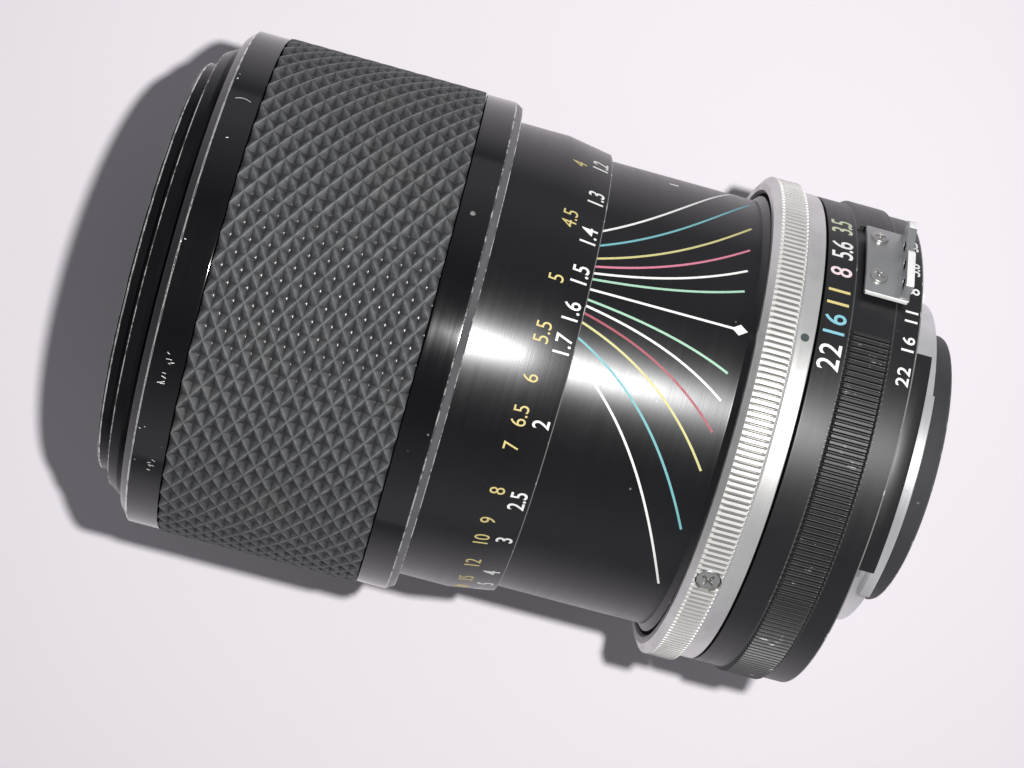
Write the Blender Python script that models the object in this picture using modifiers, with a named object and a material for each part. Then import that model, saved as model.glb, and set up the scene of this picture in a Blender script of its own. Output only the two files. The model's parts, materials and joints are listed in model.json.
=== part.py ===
"""A push-pull zoom lens for a 35 mm camera, as an assembly of separate pieces.

The lens lies on its side: its optical axis runs along X at height AXIS_HEIGHT, the
front glass faces -X, the bayonet mount faces +X, and the floor is z = 0.

Every piece is drawn in the lens's own coordinates, which the empty "optical_axis"
turns into world ones. There, Z is the distance ahead of a datum plane, which lies SEAT
behind the mount's seating face, and an angle of 0 points up and grows towards world +Y.
Sizes are in millimetres in the tables and functions below, and MM turns them into metres.
"""

import math

import bmesh
import bpy
from mathutils import Matrix, Vector

MM = 0.001

# ---------------------------------------------------------------- driving dimensions
OUTER_FACETS = 32          # facets round a large ring
INNER_FACETS = 24          # facets round a piece inside the barrel
SCREW_FACETS = 8
GAP = 0.3                  # clearance between pieces that touch on the real lens

FRONT_RIM = 96.0           # distance of the front rim ahead of the datum plane
SEAT = 2.3                 # the mount's seating face
REAR_TUBE_END = -6.3       # end of the rear baffle tube

GRIP_RADIUS = 33.2         # rubber, the widest part, which the lens lies on
COLLAR_RADIUS = 33.0
COLLAR_FRONT = 91.6
COLLAR_REAR = 55.4
RUBBER_FRONT = 86.4
RUBBER_REAR = 60.45
SCALE_RADIUS = 30.65       # distance-scale ring
SCALE_REAR_RADIUS = 29.7
SCALE_TAPER_START = 48.55
SCALE_REAR = 42.7
BARREL_RADIUS = 28.95      # fixed barrel with the depth-of-field lines
BARREL_FRONT = 58.5
BARREL_REAR = 17.9
KNURL_RADIUS = 32.6        # milled part of the silver ring
INDEX_RADIUS = 31.7        # smooth part of the silver ring
APERTURE_RADIUS = 31.7
APERTURE_KNURL_RADIUS = 32.1
FLANGE_RADIUS = 28.2       # bayonet flange
BAYONET_TUBE_RADIUS = 21.8
BAYONET_TUBE_END = -2.8
BAYONET_LUG_RADIUS = 23.0
THROAT_RADIUS = 20.7
BAFFLE_RADIUS = 18.2

FILTER_RADIUS = 27.4       # front rim, round a 52 mm filter thread
FILTER_BORE = 25.95
BEZEL_RADIUS = 30.1

GUIDE_RADIUS = 24.6        # guide barrel, then the cam tube and the carriage round it
GUIDE_BORE = 23.8
CAM_RADIUS = 25.8
CAM_BORE = 25.1
CARRIAGE_RADIUS = 27.9
CARRIAGE_BORE = 26.25

ZOOM_TRAVEL = 18.0         # the collar's slide from the long end to the wide end
REAR_TRAVEL = 19.8         # the rear group's slide over the same zoom
CAM_TURN = math.radians(60.0)
ROLLER_RADIUS = 1.2
ROLLER_ANGLES = [math.radians(a) for a in (60, 180, 300)]
ZOOM_ROLLER_AT = 50.0
REAR_ROLLER_AT = 44.0

BLADE_COUNT = 6
BLADE_PIVOT_RADIUS = 15.2
BLADE_INNER = 9.0
BLADE_OUTER = 14.0
BLADE_CLOSED_TURN = math.radians(29.5)
BLADE_FIRST = 47.7         # plane of the rear blade
BLADE_PITCH = 0.5          # spacing of the planes that the blades turn in
BLADE_THICKNESS = 0.2

SCREW_HOLE = 1.1           # hole for the grip ring's screws
GRIP_SCREW_AT = 19.5
GRIP_SCREW_ANGLES = [math.radians(a) for a in (-37, 83, 203)]
MOUNT_SCREW_CIRCLE = 25.6
MOUNT_SCREW_ANGLES = [math.radians(90 + 72 * step) for step in range(5)]
SET_SCREW_AT = 58.65
SET_SCREW_ANGLES = [math.radians(a) for a in (28.1, 148.1, 268.1)]
PRONG_SCREW_AT = 8.9
PRONG_SCREW_ANGLES = [math.radians(a) for a in (40.1, 53.1)]
KEY_ANGLES = [math.radians(a) for a in (100, 280)]
LINK_ANGLE = math.radians(20)     # the iris bar with the ring at f/22
CLICK_ANGLE = math.radians(150)
CLICK_AT = 13.0

AXIS_HEIGHT = GRIP_RADIUS * math.cos(math.pi / OUTER_FACETS)
DATUM_X = (FRONT_RIM + REAR_TUBE_END) / 2

# ---------------------------------------------------------------- colours
COLOURS = {
    "black_anodised": ((0.020, 0.020, 0.024), 0.38, 0.6),
    "matt_black": ((0.012, 0.012, 0.014), 0.70, 0.3),
    "rubber": ((0.060, 0.063, 0.066), 0.75, 0.0),
    "satin_aluminium": ((0.70, 0.70, 0.71), 0.34, 1.0),
    "chromed_brass": ((0.74, 0.73, 0.72), 0.22, 1.0),
    "steel": ((0.55, 0.55, 0.56), 0.30, 1.0),
    "brass": ((0.72, 0.53, 0.25), 0.32, 1.0),
    "glass": ((0.80, 0.86, 0.92), 0.03, 0.0),
    "blade_steel": ((0.10, 0.10, 0.11), 0.45, 0.8),
}


def material(name):
    """The named Principled material, made once."""
    found = bpy.data.materials.get(name)
    if found:
        return found
    colour, roughness, metallic = COLOURS[name]
    made = bpy.data.materials.new(name)
    made.use_nodes = True
    shader = made.node_tree.nodes["Principled BSDF"]
    shader.inputs["Base Color"].default_value = (*colour, 1.0)
    shader.inputs["Roughness"].default_value = roughness
    shader.inputs["Metallic"].default_value = metallic
    return made


# ---------------------------------------------------------------- scene and frames
for old in list(bpy.data.objects):
    bpy.data.objects.remove(old, do_unlink=True)


def collection(name):
    made = bpy.data.collections.new(name)
    bpy.context.scene.collection.children.link(made)
    return made


PARTS = collection("zoom_lens")
CUTTERS = collection("cutters")


def frame(name, parent=None, matrix=None):
    """An empty on the axis that a group of pieces moves about."""
    empty = bpy.data.objects.new(name, None)
    empty.empty_display_size = 0.02
    PARTS.objects.link(empty)
    empty.parent = parent
    if matrix is not None:
        empty.matrix_local = matrix
    return empty


axis_place = Matrix.Translation((DATUM_X * MM, 0, AXIS_HEIGHT * MM))
AXIS = frame("optical_axis", matrix=axis_place @ Matrix.Rotation(-math.pi / 2, 4, "Y"))
CARRIAGE = frame("zoom_frame", AXIS)
COLLAR = frame("focus_frame", CARRIAGE)
FRONT = frame("front_group_frame", COLLAR)
CAM = frame("cam_frame", AXIS)
REAR = frame("rear_group_frame", AXIS)
IRIS = frame("iris_frame", REAR)
APERTURE = frame("aperture_frame", AXIS)
STOP_DOWN = frame("stop_down_frame", AXIS)


# ---------------------------------------------------------------- shape helpers
def polar(radius, angle, along=0.0):
    """A point in the lens's coordinates, in metres."""
    return Vector((radius * math.cos(angle), radius * math.sin(angle), along)) * MM


def put(name, mesh, parent, surface, place=None):
    """Make an object of a mesh, under its frame."""
    made = bpy.data.objects.new(name, mesh)
    PARTS.objects.link(made)
    made.parent = parent
    if place is not None:
        made.matrix_local = place
    if surface:
        made.data.materials.append(material(surface))
    return made


def turned(name, profile, facets, parent, surface):
    """A ring or disc: profile points (radius, distance) down the outer side, then up the bore.

    A profile that starts and ends at radius 0 makes a solid disc.
    """
    half_step = math.pi / facets
    solid = profile[0][0] == 0
    mesh = bpy.data.meshes.new(name)
    points = [polar(radius, half_step, along) for radius, along in profile]
    edges = [(i, i + 1) for i in range(len(points) - 1)]
    if not solid:
        edges.append((len(points) - 1, 0))
    mesh.from_pydata(points, edges, [])
    made = put(name, mesh, parent, surface)
    screw = made.modifiers.new("turn", "SCREW")
    screw.steps = facets
    screw.render_steps = facets
    screw.use_merge_vertices = True
    screw.merge_threshold = 0.000002
    return made


def sector(name, profile, start, span, steps, parent, surface):
    """Part of a ring: the profile swept from start through span, with flat ends."""
    bm = bmesh.new()
    corners = [bm.verts.new(polar(radius, start, along)) for radius, along in profile]
    face = bm.faces.new(corners)
    bmesh.ops.spin(
        bm, geom=[face, *face.edges, *face.verts], cent=(0, 0, 0), axis=(0, 0, 1),
        angle=span, steps=steps, use_merge=False, use_duplicate=False,
    )
    bmesh.ops.recalc_face_normals(bm, faces=bm.faces)
    mesh = bpy.data.meshes.new(name)
    bm.to_mesh(mesh)
    bm.free()
    return put(name, mesh, parent, surface)


def cylinder(name, radius, length, place, parent, surface, facets=SCREW_FACETS):
    """A cylinder whose own Z runs along its length, from 0 to length, then placed."""
    bm = bmesh.new()
    bmesh.ops.create_cone(
        bm, cap_ends=True, segments=facets, radius1=radius * MM, radius2=radius * MM,
        depth=length * MM, matrix=Matrix.Translation((0, 0, length * MM / 2)),
    )
    mesh = bpy.data.meshes.new(name)
    bm.to_mesh(mesh)
    bm.free()
    return put(name, mesh, parent, surface, place)


def block(name, size, centre, angle, parent, surface):
    """A box: size is (radial, round, along) and centre is (radius, distance), at an angle."""
    bm = bmesh.new()
    bmesh.ops.create_cube(bm, size=1.0, matrix=Matrix.Diagonal((*(s * MM for s in size), 1.0)))
    mesh = bpy.data.meshes.new(name)
    bm.to_mesh(mesh)
    bm.free()
    radius, along = centre
    place = Matrix.Translation(polar(radius, angle, along)) @ Matrix.Rotation(angle, 4, "Z")
    return put(name, mesh, parent, surface, place)


def outward(radius, angle, along):
    """Placement of a pin that points away from the axis, starting at the radius."""
    turn = Matrix.Rotation(angle, 4, "Z") @ Matrix.Rotation(math.pi / 2, 4, "Y")
    return Matrix.Translation(polar(radius, angle, along)) @ turn


def lengthwise(radius, angle, along):
    """Placement of a pin that points forward, parallel to the axis."""
    return Matrix.Translation(polar(radius, angle, along)) @ Matrix.Rotation(angle, 4, "Z")


def rearward(radius, angle, along):
    """Placement of a screw whose head faces the rear, parallel to the axis."""
    return lengthwise(radius, angle, along) @ Matrix.Rotation(math.pi, 4, "X")


def curve_mesh(curve):
    """The mesh that a curve evaluates to, with its caps welded on."""
    drawn = bpy.data.objects.new(curve.name, curve)
    PARTS.objects.link(drawn)
    graph = bpy.context.evaluated_depsgraph_get()
    mesh = bpy.data.meshes.new_from_object(drawn.evaluated_get(graph))
    bpy.data.objects.remove(drawn, do_unlink=True)
    bm = bmesh.new()
    bm.from_mesh(mesh)
    bmesh.ops.remove_doubles(bm, verts=bm.verts, dist=1e-6)
    bmesh.ops.recalc_face_normals(bm, faces=bm.faces)
    bm.to_mesh(mesh)
    bm.free()
    mesh.materials.clear()
    return mesh


def wire(name, points, radius, parent, surface):
    """A round wire through the points."""
    curve = bpy.data.curves.new(name, "CURVE")
    curve.dimensions = "3D"
    spline = curve.splines.new("POLY")
    spline.points.add(len(points) - 1)
    for spot, point in zip(spline.points, points):
        spot.co = (*point, 1.0)
    curve.bevel_depth = radius * MM
    curve.bevel_resolution = 2
    curve.use_fill_caps = True
    return put(name, curve_mesh(curve), parent, surface)


def plate(name, outline, thickness, place, parent, surface):
    """A flat outline in its own XY plane, with its thickness centred on that plane."""
    curve = bpy.data.curves.new(name, "CURVE")
    curve.dimensions = "2D"
    curve.fill_mode = "BOTH"
    curve.extrude = thickness * MM / 2
    spline = curve.splines.new("POLY")
    spline.points.add(len(outline) - 1)
    for spot, (x, y) in zip(spline.points, outline):
        spot.co = (x * MM, y * MM, 0.0, 1.0)
    spline.use_cyclic_u = True
    return put(name, curve_mesh(curve), parent, surface, place)


def combine(made, other, operation):
    """Cut or join another object into this one, and put the other away as a cutter."""
    step = made.modifiers.new(operation.lower(), "BOOLEAN")
    step.operation = operation
    step.object = other
    for home in list(other.users_collection):
        home.objects.unlink(other)
    CUTTERS.objects.link(other)
    other.hide_render = True
    other.display_type = "WIRE"


def cut(made, *cutters):
    for cutter in cutters:
        combine(made, cutter, "DIFFERENCE")


def join(made, *others):
    for other in others:
        combine(made, other, "UNION")


def bow(curvature, rim, vertex, steps, towards):
    """Points of a spherical glass face from the axis to its rim.

    vertex is the face's distance on the axis. towards is 1 where the face's centre of
    curvature is ahead of it, and -1 where it is behind.
    """
    points = []
    for step in range(steps + 1):
        radius = rim * step / steps
        sag = curvature - math.sqrt(curvature ** 2 - radius ** 2)
        points.append((radius, vertex + towards * sag))
    return points


def element(name, rim, front, rear, parent):
    """A lens element: front and rear are each (curvature, vertex, towards)."""
    front_face = bow(front[0], rim, front[1], 3, front[2])
    rear_face = bow(rear[0], rim, rear[1], 3, rear[2])
    return turned(name, front_face + rear_face[::-1], INNER_FACETS, parent, "glass")


def cross_slot(name, head_radius, depth, place, parent):
    """Two crossed bars that cut the driving recess of a screw head."""
    bars = []
    for turn in (0.0, math.pi / 2):
        bm = bmesh.new()
        bar_size = (head_radius * 1.2 * MM, head_radius * 0.3 * MM, depth * 2 * MM, 1.0)
        bmesh.ops.create_cube(bm, size=1.0, matrix=Matrix.Diagonal(bar_size))
        mesh = bpy.data.meshes.new(name)
        bm.to_mesh(mesh)
        bm.free()
        bars.append(put(f"{name}_bar", mesh, parent, None, place @ Matrix.Rotation(turn, 4, "Z")))
    return bars


def screw(name, head, shank, place, parent):
    """A cross-head screw: its Z points out of the head, whose face is at the placement.

    head and shank are each (radius, length).
    """
    half_step = math.pi / SCREW_FACETS
    profile = [
        (0, 0), (head[0], 0), (head[0], -head[1]), (shank[0], -head[1]),
        (shank[0], -head[1] - shank[1]), (0, -head[1] - shank[1]),
    ]
    mesh = bpy.data.meshes.new(name)
    points = [polar(radius, half_step, along) for radius, along in profile]
    mesh.from_pydata(points, [(i, i + 1) for i in range(len(points) - 1)], [])
    made = put(name, mesh, parent, "steel", place)
    turn = made.modifiers.new("turn", "SCREW")
    turn.steps = SCREW_FACETS
    turn.render_steps = SCREW_FACETS
    turn.use_merge_vertices = True
    turn.merge_threshold = 0.000002
    cut(made, *cross_slot(name, head[0], head[1] * 0.45, place, parent))
    return made


# ---------------------------------------------------------------- fixed body
def guide_barrel():
    """The inner tube: its straight slots keep the carriage and the rear group from turning."""
    flange_front = 21.3
    flange_radius = 27.8
    front = 62.0
    profile = [
        (GUIDE_RADIUS, front), (GUIDE_RADIUS, flange_front), (flange_radius, flange_front),
        (flange_radius, BARREL_REAR), (GUIDE_BORE, BARREL_REAR), (GUIDE_BORE, front),
    ]
    made = turned("guide_barrel", profile, INNER_FACETS, AXIS, "matt_black")
    slot_front, slot_rear = 52.2, 22.3
    size = (4.0, 2 * (ROLLER_RADIUS + GAP), slot_front - slot_rear)
    centre = (GUIDE_RADIUS, (slot_front + slot_rear) / 2)
    for angle in ROLLER_ANGLES:
        cut(made, block("guide_slot", size, centre, angle, AXIS, None))
    for angle in GRIP_SCREW_ANGLES:
        hole = outward(25.4, angle, GRIP_SCREW_AT)
        cut(made, cylinder("grip_screw_thread", SCREW_HOLE, 4.0, hole, AXIS, None))


def scale_barrel():
    """The fixed outer tube, which the distance-scale ring slides and turns on."""
    flare_radius = 29.8
    bore = 28.3
    profile = [
        (BARREL_RADIUS, BARREL_FRONT), (BARREL_RADIUS, 22.7), (flare_radius, 22.0),
        (flare_radius, 20.9), (BARREL_RADIUS, 20.9), (BARREL_RADIUS, BARREL_REAR),
        (bore, BARREL_REAR), (bore, BARREL_FRONT),
    ]
    made = turned("scale_barrel", profile, OUTER_FACETS, AXIS, "black_anodised")
    for angle in GRIP_SCREW_ANGLES:
        hole = outward(27.0, angle, GRIP_SCREW_AT)
        cut(made, cylinder("barrel_screw_hole", SCREW_HOLE, 4.0, hole, AXIS, None))


def index_grip_ring():
    """The silver ring: milled to hold while mounting, and smooth where its index dot is."""
    profile = [
        (30.6, 22.1), (31.6, 22.1), (KNURL_RADIUS, 21.2), (KNURL_RADIUS, 17.9),
        (INDEX_RADIUS, 17.5), (INDEX_RADIUS, 15.3), (29.3, 15.3), (29.3, 20.6),
        (30.25, 20.6), (30.25, 21.8),
    ]
    made = turned("index_grip_ring", profile, OUTER_FACETS, AXIS, "satin_aluminium")
    for number, angle in enumerate(GRIP_SCREW_ANGLES, 1):
        counterbore = outward(31.2, angle, GRIP_SCREW_AT)
        cut(made, cylinder("grip_counterbore", 1.8, 3.0, counterbore, AXIS, None, 12))
        hole = outward(28.0, angle, GRIP_SCREW_AT)
        cut(made, cylinder("grip_screw_hole", SCREW_HOLE, 4.0, hole, AXIS, None))
        screw(f"grip_screw_{number}", (1.5, 0.9), (0.8, 5.3), outward(32.4, angle, GRIP_SCREW_AT), AXIS)


def mount_housing():
    """The fixed ring that the aperture ring turns on and the bayonet is screwed to."""
    front, neck, floor, rear = 17.4, 15.2, 6.9, SEAT + 2.6
    wall_bore, neck_bore, rear_bore = 26.2, 24.1, 22.8
    profile = [
        (FLANGE_RADIUS, front), (FLANGE_RADIUS, rear), (rear_bore, rear), (rear_bore, floor),
        (wall_bore, floor), (wall_bore, neck), (neck_bore, neck), (neck_bore, front),
    ]
    made = turned("mount_housing", profile, OUTER_FACETS, AXIS, "matt_black")
    cut(made, block("link_window", (8.0, 26.0, 3.6), (26.6, 9.25), 0.0, AXIS, None))
    for angle in MOUNT_SCREW_ANGLES:
        hole = lengthwise(MOUNT_SCREW_CIRCLE, angle, rear - 1.0)
        cut(made, cylinder("mount_screw_thread", 1.3, 3.5, hole, AXIS, None))
    pocket = outward(25.0, CLICK_ANGLE, CLICK_AT)
    cut(made, cylinder("click_pocket", 1.0, 4.0, pocket, AXIS, None))


def click_stop():
    """The ball that clicks the aperture ring into each stop."""
    bm = bmesh.new()
    bmesh.ops.create_icosphere(bm, subdivisions=1, radius=0.68 * MM)
    mesh = bpy.data.meshes.new("click_ball")
    bm.to_mesh(mesh)
    bm.free()
    put("click_ball", mesh, AXIS, "steel", outward(27.75, CLICK_ANGLE, CLICK_AT))


def bayonet():
    """The chromed mount: seating flange, tube and three lugs, with its five screws."""
    front = SEAT + 2.3
    profile = [
        (FLANGE_RADIUS, front), (FLANGE_RADIUS, SEAT), (BAYONET_TUBE_RADIUS, SEAT),
        (BAYONET_TUBE_RADIUS, BAYONET_TUBE_END), (THROAT_RADIUS, BAYONET_TUBE_END),
        (THROAT_RADIUS, front),
    ]
    made = turned("bayonet_mount", profile, OUTER_FACETS, AXIS, "chromed_brass")
    root, lug_front, lug_rear = BAYONET_TUBE_RADIUS - 0.5, -1.1, BAYONET_TUBE_END + 0.1
    lug = [
        (BAYONET_LUG_RADIUS, lug_front), (BAYONET_LUG_RADIUS, lug_rear),
        (root, lug_rear), (root, lug_front),
    ]
    for start, span in ((-48, 72), (85, 54), (203, 50)):
        join(made, sector("bayonet_lug", lug, math.radians(start), math.radians(span), 6, AXIS, None))
    for number, angle in enumerate(MOUNT_SCREW_ANGLES, 1):
        counterbore = lengthwise(MOUNT_SCREW_CIRCLE, angle, SEAT - 1.0)
        cut(made, cylinder("mount_counterbore", 2.2, 2.2, counterbore, AXIS, None, 12))
        cut(made, cylinder("mount_screw_hole", 1.3, 4.0, counterbore, AXIS, None))
        place = rearward(MOUNT_SCREW_CIRCLE, angle, SEAT + 0.1)
        screw(f"mount_screw_{number}", (1.9, 0.8), (1.0, 3.4), place, AXIS)


def rear_baffle():
    """The matt black tube behind the mount that keeps stray light off the film."""
    flange_front, flange_rear, flange_radius = 7.6, 6.6, 22.4
    bore = 16.8
    profile = [
        (flange_radius, flange_front), (flange_radius, flange_rear), (BAFFLE_RADIUS, flange_rear),
        (BAFFLE_RADIUS, REAR_TUBE_END), (bore, REAR_TUBE_END), (bore, flange_front),
    ]
    turned("rear_baffle", profile, INNER_FACETS, AXIS, "matt_black")


def stop_down():
    """The ring and tab that the camera pushes to open or close the iris, and its spring."""
    front, rear = SEAT + 3.1, SEAT + 0.3
    outer, bore = 20.3, 18.75
    profile = [(outer, front), (outer, rear), (bore, rear), (bore, front)]
    made = turned("stop_down_lever", profile, INNER_FACETS, STOP_DOWN, "steel")
    tab_end = -4.8
    tab = [(outer - 0.2, rear + 0.6), (outer - 0.2, tab_end), (bore + 0.2, tab_end), (bore + 0.2, rear + 0.6)]
    join(made, sector("lever_tab", tab, math.radians(236), math.radians(9), 2, STOP_DOWN, None))
    turns, steps_per_turn, coil_radius = 5, 6, 0.55
    spring_radius, spring_at = 21.55, SEAT + 3.3
    arc_start, arc_span = math.radians(150), math.radians(28)
    points = []
    for step in range(turns * steps_per_turn + 1):
        wind = math.tau * step / steps_per_turn
        along_arc = arc_start + arc_span * step / (turns * steps_per_turn)
        radius = spring_radius + coil_radius * math.cos(wind)
        points.append(polar(radius, along_arc, spring_at + coil_radius * math.sin(wind)))
    wire("stop_down_spring", points, 0.14, AXIS, "steel")


# ---------------------------------------------------------------- aperture ring
def aperture_ring():
    """The ring that sets the aperture, with the ridge that tells the camera its setting."""
    front, rear, bore = 15.0, SEAT + 0.4, 28.75
    profile = [
        (APERTURE_RADIUS, front), (APERTURE_RADIUS, 11.3), (APERTURE_KNURL_RADIUS, 11.0),
        (APERTURE_KNURL_RADIUS, 6.4), (APERTURE_RADIUS, 6.0), (APERTURE_RADIUS, rear),
        (bore, rear), (bore, front),
    ]
    made = turned("aperture_ring", profile, OUTER_FACETS, APERTURE, "black_anodised")
    ridge_radius, ridge_bore, ridge_end = 30.0, 28.9, 0.3
    ridge = [
        (ridge_radius, rear + 0.6), (ridge_radius, ridge_end), (ridge_bore, ridge_end), (ridge_bore, rear + 0.6),
    ]
    join(made, sector("coupling_ridge", ridge, math.radians(-27), math.radians(54), 6, APERTURE, None))
    for angle in PRONG_SCREW_ANGLES:
        hole = outward(30.6, angle, PRONG_SCREW_AT)
        cut(made, cylinder("prong_screw_thread", 0.9, 3.0, hole, APERTURE, None))


def coupling_prong():
    """The forked prong on the aperture ring, and the two screws that hold it."""
    start, span = math.radians(35.4), math.radians(22.0)
    foot_base, foot_top, foot_front, foot_rear = 32.45, 33.15, 10.5, 4.85
    foot = [(foot_top, foot_front), (foot_top, foot_rear), (foot_base, foot_rear), (foot_base, foot_front)]
    made = sector("coupling_prong", foot, start, span, 5, APERTURE, "satin_aluminium")
    fork_top, fork_base, fork_front = 35.5, 32.8, 5.85
    fork_rear = foot_rear + 0.05
    fork = [(fork_top, fork_front), (fork_top, fork_rear), (fork_base, fork_rear), (fork_base, fork_front)]
    join(made, sector("fork", fork, start + 0.01, span - 0.02, 5, APERTURE, None))
    middle, centre = start + span / 2, (fork_front + fork_rear) / 2
    cut(made, block("fork_slot", (2.4, 2.6, 3.0), (35.4, centre), middle, APERTURE, None))
    for side in (-1, 1):
        angle = middle + side * math.radians(6.4)
        cut(made, block("light_hole", (0.7, 2.4, 3.0), (34.5, centre), angle, APERTURE, None))
    for number, angle in enumerate(PRONG_SCREW_ANGLES, 1):
        hole = outward(31.5, angle, PRONG_SCREW_AT)
        cut(made, cylinder("prong_screw_hole", 0.9, 3.0, hole, APERTURE, None))
        place = outward(33.9, angle, PRONG_SCREW_AT)
        screw(f"prong_screw_{number}", (1.1, 0.45), (0.6, 1.6), place, APERTURE)


def aperture_link():
    """The bar that turns with the aperture ring and drives the iris wherever it slides."""
    half_width = 1.5
    inner, outer, reach = 21.9, 23.3, 28.4
    rear, arm_front, front = 8.0, 10.5, 52.8
    outline = [
        (inner, rear), (reach, rear), (reach, arm_front),
        (outer, arm_front), (outer, front), (inner, front),
    ]
    on_edge = Matrix.Rotation(LINK_ANGLE, 4, "Z") @ Matrix.Rotation(math.pi / 2, 4, "X")
    plate("aperture_link_bar", outline, 2 * half_width, on_edge, APERTURE, "steel")


# ---------------------------------------------------------------- zoom carriage and cam
def zoom_carriage():
    """The tube that carries the collar, and its three rollers."""
    nose_front, nose_bore, step = 88.0, 27.85, 80.8
    flange_front, flange_rear = 78.8, 77.0
    tail = 44.0
    profile = [
        (28.5, nose_front), (28.5, flange_front), (30.0, flange_front), (30.0, flange_rear),
        (CARRIAGE_RADIUS, flange_rear), (CARRIAGE_RADIUS, tail), (CARRIAGE_BORE, tail),
        (CARRIAGE_BORE, step), (nose_bore, step), (nose_bore, nose_front),
    ]
    made = turned("zoom_carriage", profile, OUTER_FACETS, CARRIAGE, "brass")
    for number, angle in enumerate(ROLLER_ANGLES, 1):
        hole = outward(25.5, angle, ZOOM_ROLLER_AT)
        cut(made, cylinder("roller_hole", ROLLER_RADIUS + GAP, 3.5, hole, CARRIAGE, None))
        place = outward(23.95, angle, ZOOM_ROLLER_AT)
        cylinder(f"zoom_roller_{number}", ROLLER_RADIUS, 3.75, place, CARRIAGE, "steel")


def cam_slot(start, travel, angle):
    """The cutter of one helical slot: a tube along the path that a roller takes in the cam."""
    run_over = 0.055
    steps = 8
    points = []
    for step in range(steps + 1):
        share = -run_over + (1 + 2 * run_over) * step / steps
        along = start - share * travel
        points.append(polar((CAM_RADIUS + CAM_BORE) / 2, angle + share * CAM_TURN, along))
    return wire("cam_slot", points, ROLLER_RADIUS + 0.5, CAM, None)


def cam_tube():
    """The turning tube whose helical slots make the two groups slide together."""
    front, rear = 59.0, 22.2
    profile = [(CAM_RADIUS, front), (CAM_RADIUS, rear), (CAM_BORE, rear), (CAM_BORE, front)]
    made = turned("cam_tube", profile, INNER_FACETS, CAM, "brass")
    for angle in ROLLER_ANGLES:
        cut(made, cam_slot(ZOOM_ROLLER_AT, ZOOM_TRAVEL, angle))
        cut(made, cam_slot(REAR_ROLLER_AT, REAR_TRAVEL, angle))


# ---------------------------------------------------------------- focusing collar
def focus_collar():
    """The collar that is pushed to zoom and turned to focus, with its set screws and keys."""
    groove_front, groove_rear, groove_radius = RUBBER_FRONT + GAP, RUBBER_REAR - GAP, 32.0
    front_bore, rear_bore, bore_step = 30.5, 31.05, 76.7
    profile = [
        (31.9, COLLAR_FRONT), (COLLAR_RADIUS, COLLAR_FRONT - 1.0), (COLLAR_RADIUS, groove_front),
        (groove_radius, groove_front), (groove_radius, groove_rear), (COLLAR_RADIUS, groove_rear),
        (COLLAR_RADIUS, COLLAR_REAR + 1.0), (32.4, COLLAR_REAR), (rear_bore, COLLAR_REAR),
        (rear_bore, bore_step), (front_bore, bore_step), (front_bore, COLLAR_FRONT),
    ]
    made = turned("focus_collar", profile, OUTER_FACETS, COLLAR, "black_anodised")
    for number, angle in enumerate(SET_SCREW_ANGLES, 1):
        hole = outward(30.0, angle, SET_SCREW_AT)
        cut(made, cylinder("set_screw_thread", 0.7, 4.0, hole, COLLAR, None))
        place = outward(30.95, angle, SET_SCREW_AT)
        cylinder(f"collar_set_screw_{number}", 0.4, 1.85, place, COLLAR, "steel")
    for number, angle in enumerate(KEY_ANGLES, 1):
        block(f"focus_key_{number}", (1.05, 3.0, 3.8), (29.7, 84.9), angle, COLLAR, "brass")


def rubber_grip():
    """The rubber sleeve in the collar's groove."""
    bore = 32.4
    profile = [
        (GRIP_RADIUS, RUBBER_FRONT), (GRIP_RADIUS, RUBBER_REAR),
        (bore, RUBBER_REAR), (bore, RUBBER_FRONT),
    ]
    turned("rubber_grip", profile, OUTER_FACETS, COLLAR, "rubber")


def distance_scale_ring():
    """The tapered ring behind the collar that carries the distance scale."""
    front, bore = 76.4, 29.35
    profile = [
        (SCALE_RADIUS, front), (SCALE_RADIUS, SCALE_TAPER_START), (SCALE_REAR_RADIUS, SCALE_REAR),
        (bore, SCALE_REAR), (bore, front),
    ]
    turned("distance_scale_ring", profile, OUTER_FACETS, COLLAR, "black_anodised")


def collar_retaining_ring():
    """The ring in the collar's bore that keeps the collar on the carriage's flange."""
    front, rear = 80.9, 79.1
    profile = [(30.1, front), (30.1, rear), (28.95, rear), (28.95, front)]
    turned("collar_retaining_ring", profile, OUTER_FACETS, COLLAR, "brass")


# ---------------------------------------------------------------- front group
def filter_ring():
    """The front rim with the filter's recess, and the focusing thread behind it."""
    thread_rear, seat, cell_bore = 85.0, 88.5, 23.75
    profile = [
        (27.1, FRONT_RIM), (FILTER_RADIUS, FRONT_RIM - 0.3), (FILTER_RADIUS, thread_rear),
        (cell_bore, thread_rear), (cell_bore, seat), (FILTER_BORE, seat), (FILTER_BORE, FRONT_RIM),
    ]
    turned("filter_ring", profile, OUTER_FACETS, FRONT, "black_anodised")


def front_bezel():
    """The shoulder ring round the filter ring; the collar's keys slide in its skirt."""
    skirt_rear = 84.7
    skirt_bore = 28.95
    profile = [
        (27.9, 94.5), (29.3, 94.0), (BEZEL_RADIUS, 92.6), (BEZEL_RADIUS, skirt_rear),
        (skirt_bore, skirt_rear), (skirt_bore, 92.2), (27.8, 92.2), (27.8, 94.4),
    ]
    made = turned("front_bezel", profile, OUTER_FACETS, FRONT, "black_anodised")
    for angle in KEY_ANGLES:
        cut(made, block("key_slot", (2.6, 3.7, 7.5), (30.0, 86.75), angle, FRONT, None))


def beauty_ring():
    """The plain ring round the front glass, which holds the front cell in."""
    profile = [(25.6, 91.3), (25.6, 90.1), (21.0, 90.1), (21.0, 90.5)]
    turned("beauty_ring", profile, INNER_FACETS, FRONT, "matt_black")


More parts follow.
